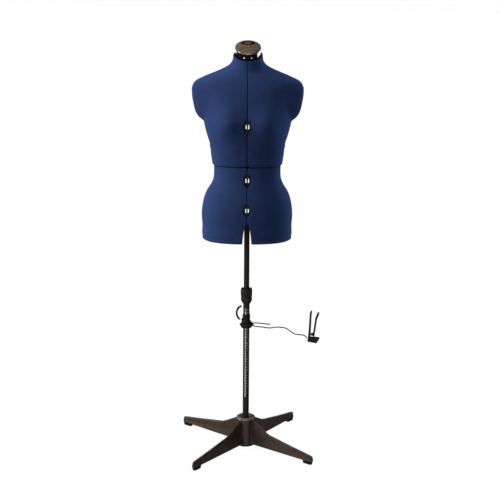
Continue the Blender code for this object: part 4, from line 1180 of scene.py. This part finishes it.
def build_base():
    bore = OUTER_TUBE_RADIUS + 0.0003
    floor = OUTER_TUBE_SPAN[0] - 0.0003
    r = HUB_RADIUS
    hub = turned([(0, 0.0010), (0.0270, 0.0010), (0.0275, 0), (0.0305, 0), (0.0320, 0.0006), (r, 0.0030),
                  (r, 0.0150), (r - 0.0005, 0.0155), (r - 0.0005, 0.0162), (r, 0.0167),
                  (r, HUB_HEIGHT - 0.0012), (r - 0.0004, HUB_HEIGHT - 0.0003), (r - 0.0012, HUB_HEIGHT),
                  (bore, HUB_HEIGHT), (bore, floor), (0, floor)], 128)
    add_piece("base_hub_moulding", hub, "base", "stand", ["base_hub"], sharp=35.0)
    low, top = HUB_HEIGHT + 0.0003, HUB_COLLAR_TOP
    collar = turned([(bore, low), (r - 0.0006, low), (r, low + 0.0006), (r, top - 0.0024),
                     (r - 0.0005, top - 0.0010), (r - 0.0018, top), (0.0225, top), (0.0208, top - 0.0006),
                     (0.0176, 0.1018), (0.0164, 0.1010), (bore, 0.1010)], 128)
    add_piece("hub_collar_moulding", collar, "collar", "stand", ["hub_collar"], sharp=50.0)
    for name, azimuth in zip(LEG_NAMES, LEG_AZIMUTHS):
        leg, foot = (moved(bm, spun(azimuth, "Z")) for bm in (leg_bmesh(), foot_bmesh()))
        add_piece(f"leg_{name}_moulding", leg, "base", "stand", [f"leg_{name}"], sharp=50.0)
        add_piece(f"foot_{name}_pad", foot, "rubber", "stand", [f"foot_{name}"], sharp=35.0)


# ==== hem marker ==============================================================
SLIDER_SPAN = (0.438, 0.487)
SLIDER_BORE = 0.0115
SLIDER_RADIUS = 0.0135
RING_SPAN = (0.4425, 0.4572)
RING_BORE = 0.0139
RING_RADIUS = 0.0182
KNOB_HEIGHT = 0.4480
JAW_PIVOT = (0.2302, 0.4130)
WIRE_RADIUS = 0.0019
WIRE_POINTS = ((0.0850, 0.4490), (0.0680, 0.4505), (0.0430, 0.4530), (0.0280, 0.4535), (0.0240, 0.4505),
               (0.0240, 0.4450), (0.0280, 0.4415), (0.0560, 0.4385), (0.0820, 0.4355), (0.1030, 0.4385),
               (0.1220, 0.4380), (0.1390, 0.4345), (0.1550, 0.4240), (0.1700, 0.4140), (0.1880, 0.4115),
               (0.2030, 0.4090), (0.2140, 0.3995))


def swept(path, radius, segments=16):
    """A round bar along a path."""
    path = np.array(path, float)
    tangents = np.gradient(path, axis=0)
    tangents /= np.linalg.norm(tangents, axis=1, keepdims=True)
    side = np.array((0.0, 1.0, 0.0))
    sections = []
    for point, tangent in zip(path, tangents):
        side = side - tangent * np.dot(side, tangent)
        side /= np.linalg.norm(side)
        other = np.cross(tangent, side)
        sections.append([tuple(point + radius * (math.cos(a) * side + math.sin(a) * other))
                         for a in (2 * math.pi * k / segments for k in range(segments))])
    return lofted(sections)


def through(points, steps=6):
    """A smooth curve through the points (Catmull-Rom)."""
    p = np.array(points, float)
    p = np.concatenate(([2 * p[0] - p[1]], p, [2 * p[-1] - p[-2]]))
    made = []
    for k in range(1, len(p) - 2):
        for t in np.arange(steps) / steps:
            made.append(0.5 * (2 * p[k] + (p[k + 1] - p[k - 1]) * t
                               + (2 * p[k - 1] - 5 * p[k] + 4 * p[k + 1] - p[k + 2]) * t * t
                               + (3 * p[k] - p[k - 1] - 3 * p[k + 1] + p[k + 2]) * t ** 3))
    made.append(p[-2])
    return made


def slider_bmesh():
    low, high = SLIDER_SPAN
    ring_low, ring_high = RING_SPAN[0] - 0.0003, RING_SPAN[1] + 0.0003
    body = turned([(SLIDER_BORE, low), (0.0176, low), (0.0186, low + 0.0006), (0.0188, low + 0.0014),
                   (0.0188, ring_low - 0.0008), (0.0182, ring_low), (SLIDER_RADIUS, ring_low),
                   (SLIDER_RADIUS, ring_high), (0.0154, ring_high), (0.0160, ring_high + 0.0006),
                   (0.0160, 0.4606), (0.0154, 0.4618), (SLIDER_RADIUS + 0.0003, 0.4636),
                   (SLIDER_RADIUS, 0.4650), (SLIDER_RADIUS, 0.4790), (0.0132, 0.4810), (0.0126, 0.4866),
                   (0.0121, high), (SLIDER_BORE, high)], 96)
    lug = plate(rounded([(-0.0126, 0.4585), (-0.0126, 0.4730), (-0.0160, 0.4690), (-0.0178, 0.4660),
                         (-0.0165, 0.4620)], 0.0016), -0.0030, 0.0030)
    return joined(body, lug)


def ring_bmesh():
    low, high = RING_SPAN
    band = turned([(RING_BORE, low), (RING_RADIUS - 0.0006, low), (RING_RADIUS, low + 0.0006),
                   (RING_RADIUS, low + 0.0040), (RING_RADIUS - 0.0004, low + 0.0044),
                   (RING_RADIUS - 0.0004, high - 0.0044), (RING_RADIUS, high - 0.0040),
                   (RING_RADIUS, high - 0.0006), (RING_RADIUS - 0.0006, high), (RING_BORE, high)], 96)
    lug = plate(rounded([(0.0165, -0.0050), (0.0222, -0.0050), (0.0222, 0.0050), (0.0165, 0.0050)], 0.0012),
                low + 0.0004, high - 0.0004, "Z")

    def knurl(angle, radius, height):
        return 1 - 0.05 * (0.5 + 0.5 * math.cos(16 * angle)) if radius > 0.0046 else 1.0

    knob = turned([(0, 0.0160), (0.0036, 0.0160), (0.0036, 0.0184), (0.0044, 0.0186), (0.0048, 0.0192),
                   (0.0048, 0.0222), (0.0044, 0.0229), (0.0030, 0.0230), (0.0026, 0.0227),
                   (0, 0.0226)], 96, knurl)
    return joined(band, lug, moved(knob, shifted(0, 0, KNOB_HEIGHT) @ spun(-90, "Y")))


def lever_bmesh():
    """The C-shaped thumb lever: an arc with a rounded section and a hollowed outer face."""
    centre, reach, half = (-0.0135, 0.4900), (0.0205, 0.0255), 0.0034
    sections = []
    steps = 48
    for k in range(steps + 1):
        share = k / steps
        angle = math.radians(98 + 150 * share)
        ux, uz = math.cos(angle), math.sin(angle)
        ends = math.sqrt(max(0.02, 1 - (2 * share - 1) ** 24))
        thick = half * (0.75 + 0.25 * math.sin(math.pi * share)) * ends
        outline = rounded([(-thick, -0.0045), (thick, -0.0045), (thick * 0.55, 0.0), (thick, 0.0045),
                           (-thick, 0.0045)], 0.0012, 3)
        sections.append([(centre[0] + ux * (reach[0] + d), y, centre[1] + uz * (reach[1] + d))
                         for d, y in outline])
    return lofted(sections)


def clip_base_bmesh():
    outline = [(0.2151, 0.3875, 0.0020), (0.2467, 0.3813, 0.0020), (0.2583, 0.4010, 0.0020),
               (0.2400, 0.4032, 0.0015), (0.2252, 0.4032, 0.0008), (0.2267, 0.4400, 0.0030),
               (0.2279, 0.4885, 0.0030), (0.2302, 0.4980, 0.0008), (0.2258, 0.4978, 0.0008),
               (0.2219, 0.4905, 0.0030), (0.2198, 0.4400, 0.0030), (0.2172, 0.4020, 0.0030)]
    return plate(rounded(outline, 0.001, 5), -0.0060, 0.0060)


def clip_jaw_bmesh():
    barrel = 0.0042
    turn = [math.radians(60 + 240 * k / 20) for k in range(21)]
    outline = [(JAW_PIVOT[0] + barrel * math.cos(a), JAW_PIVOT[1] + barrel * math.sin(a), 0) for a in turn]
    outline += [(0.2345, 0.4070, 0.0010), (0.2392, 0.4070, 0.0012), (0.2464, 0.4610, 0.0030),
                (0.2464, 0.4660, 0.0030), (0.2551, 0.4915, 0.0010), (0.2539, 0.4937, 0.0006),
                (0.2494, 0.4930, 0.0010), (0.2404, 0.4685, 0.0030), (0.2404, 0.4620, 0.0030),
                (0.2347, 0.4180, 0.0010)]
    return plate(rounded(outline, 0.001, 5), -0.0050, 0.0050)


def build_marker():
    for part, bm, body, sharp in (
            ("slider", slider_bmesh(), "slider", 35.0), ("ring", ring_bmesh(), "swing", 35.0),
            ("lever", lever_bmesh(), "lever", 60.0), ("clip_base", clip_base_bmesh(), "swing", 35.0),
            ("clip_jaw", clip_jaw_bmesh(), "jaw", 35.0)):
        made = add_piece(f"marker_{part}_moulding", bm, "marker", f"marker_{body}", [f"marker_{part}"],
                         sharp=sharp)
        if part.startswith("clip"):
            bevel = made.modifiers.new("soft_edges", "BEVEL")
            bevel.width = 0.0008
            bevel.segments = 3
            bevel.limit_method = "ANGLE"
            bevel.angle_limit = math.radians(40)
            bevel.harden_normals = True
    wire = swept(through([(x, 0.0, z) for x, z in WIRE_POINTS]), WIRE_RADIUS)
    add_piece("marker_arm_wire", wire, "wire", "marker_swing", ["marker_arm"], sharp=60.0)


# ==== floor, light and camera =================================================
def build_floor():
    recipe = Recipe("studio_floor", (0.065, 0.065, 0.065), 1.0, Specular_IOR_Level=0.0,
                    Emission_Color=(1, 1, 1, 1), Emission_Strength=0.955)
    recipe.tint(recipe.noise(0.9), 0.95, 1.05)
    mesh = bpy.data.meshes.new("studio_floor")
    far, high = 55.0, 60.0
    corners = [(-far, -far), (far, -far), (far, far), (-far, far)]
    walls = [(k, (k + 1) % 4, (k + 1) % 4 + 4, k + 4) for k in range(4)]
    mesh.from_pydata([(x, y, z) for z in (-0.0002, high) for x, y in corners], [], [(0, 1, 2, 3), *walls])
    mesh.materials.append(recipe.material)
    floor = linked("studio_floor", mesh)
    floor.visible_diffuse = floor.visible_glossy = floor.visible_shadow = False


def aimed(name, light, toward, at=(0, 0, 0)):
    """A lamp that sends its light along a direction."""
    lamp = linked(name, light)
    lamp.location = at
    lamp.rotation_euler = Vector(toward).to_track_quat("-Z", "Y").to_euler()
    return lamp


def far_light(name, azimuth, elevation, energy, colour=(1, 1, 1)):
    """Soft light from far away; azimuth 0 is in front, 90 on the viewer's right."""
    light = bpy.data.lights.new(name, "SUN")
    light.energy = energy
    light.angle = math.radians(38)
    light.color = colour
    a, e = math.radians(azimuth), math.radians(elevation)
    toward = (-math.sin(a) * math.cos(e), math.cos(a) * math.cos(e), -math.sin(e))
    aimed(name, light, toward).visible_glossy = False


def softbox(name, at, aim, size, power, pieces, state="INCLUDE"):
    """A panel that only shows as a highlight, on the named pieces or on all but those."""
    light = bpy.data.lights.new(name, "AREA")
    light.shape = "RECTANGLE"
    light.size, light.size_y = size
    light.energy = power
    panel = aimed(name, light, Vector(aim) - Vector(at), at)
    panel.visible_diffuse = panel.visible_camera = False
    lit = bpy.data.collections.new(name)
    for piece in pieces:
        lit.objects.link(bpy.data.objects[piece])
    for member in lit.collection_objects:
        member.light_linking.link_state = state
    panel.light_linking.receiver_collection = lit


def build_light():
    world = bpy.data.worlds.new("studio")
    world.use_nodes = True
    world.node_tree.nodes["Background"].inputs["Color"].default_value = (0.92, 0.96, 1.0, 1)
    world.node_tree.nodes["Background"].inputs["Strength"].default_value = 0.05
    bpy.context.scene.world = world
    far_light("key", -88, 18, 4.3)
    far_light("top", 0, 85, 1.9)
    far_light("bounce_left", -60, -15, 1.6)
    far_light("rim_right", 116, -12, 3.6, (0.86, 0.93, 1.0))
    far_light("fill_right", 40, 20, 0.4)
    stem = ["neck_stem_turned"]
    legs = [f"leg_{name}_moulding" for name in LEG_NAMES]
    softbox("panel_left", (-3.4, -0.6, 1.5), (0, 0, 1.2), (0.8, 1.8), 90, stem, "EXCLUDE")
    softbox("front_low", (0, -1.7, -0.3), (0, 0, 1.0), (2.0, 1.6), 19, stem, "EXCLUDE")
    softbox("front_middle", (0, -2.4, 1.10), (0, 0, 1.1), (2.4, 1.7), 19, stem, "EXCLUDE")
    softbox("front_high", (0, -1.7, 2.7), (0, 0, 1.1), (2.0, 1.6), 10, stem, "EXCLUDE")
    softbox("wall_right", (2.6, 2.2, 1.0), (0, 0, 1.3), (4.0, 2.4), 300, stem)
    softbox("wall_left", (-1.0, 3.2, 1.2), (0, 0, 1.3), (1.2, 2.4), 60, stem)
    softbox("wall_back", (0.3, 3.4, 1.2), (0, 0, 0.1), (3.6, 1.0), 90, legs)


def build_camera():
    camera = bpy.data.cameras.new("camera")
    camera.sensor_width = 36.0
    camera.lens = 78.95
    view = linked("camera", camera)
    view.location = (0.0048, -3.668, 1.618)
    view.rotation_euler = (math.radians(76.19), math.radians(-0.40), 0)
    bpy.context.scene.camera = view
    bpy.context.scene.view_settings.view_transform = "Standard"


for level in RINGS:
    build_spider(level)
    build_wheels(level)
    for side in SIDES:
        build_carriage(level, side)
    for facing, side in QUARTERS:
        build_shell(level, facing, side)
        build_cover(level, facing, side)
build_neck()
build_pole()
build_base()
build_marker()
build_floor()
build_light()
build_camera()
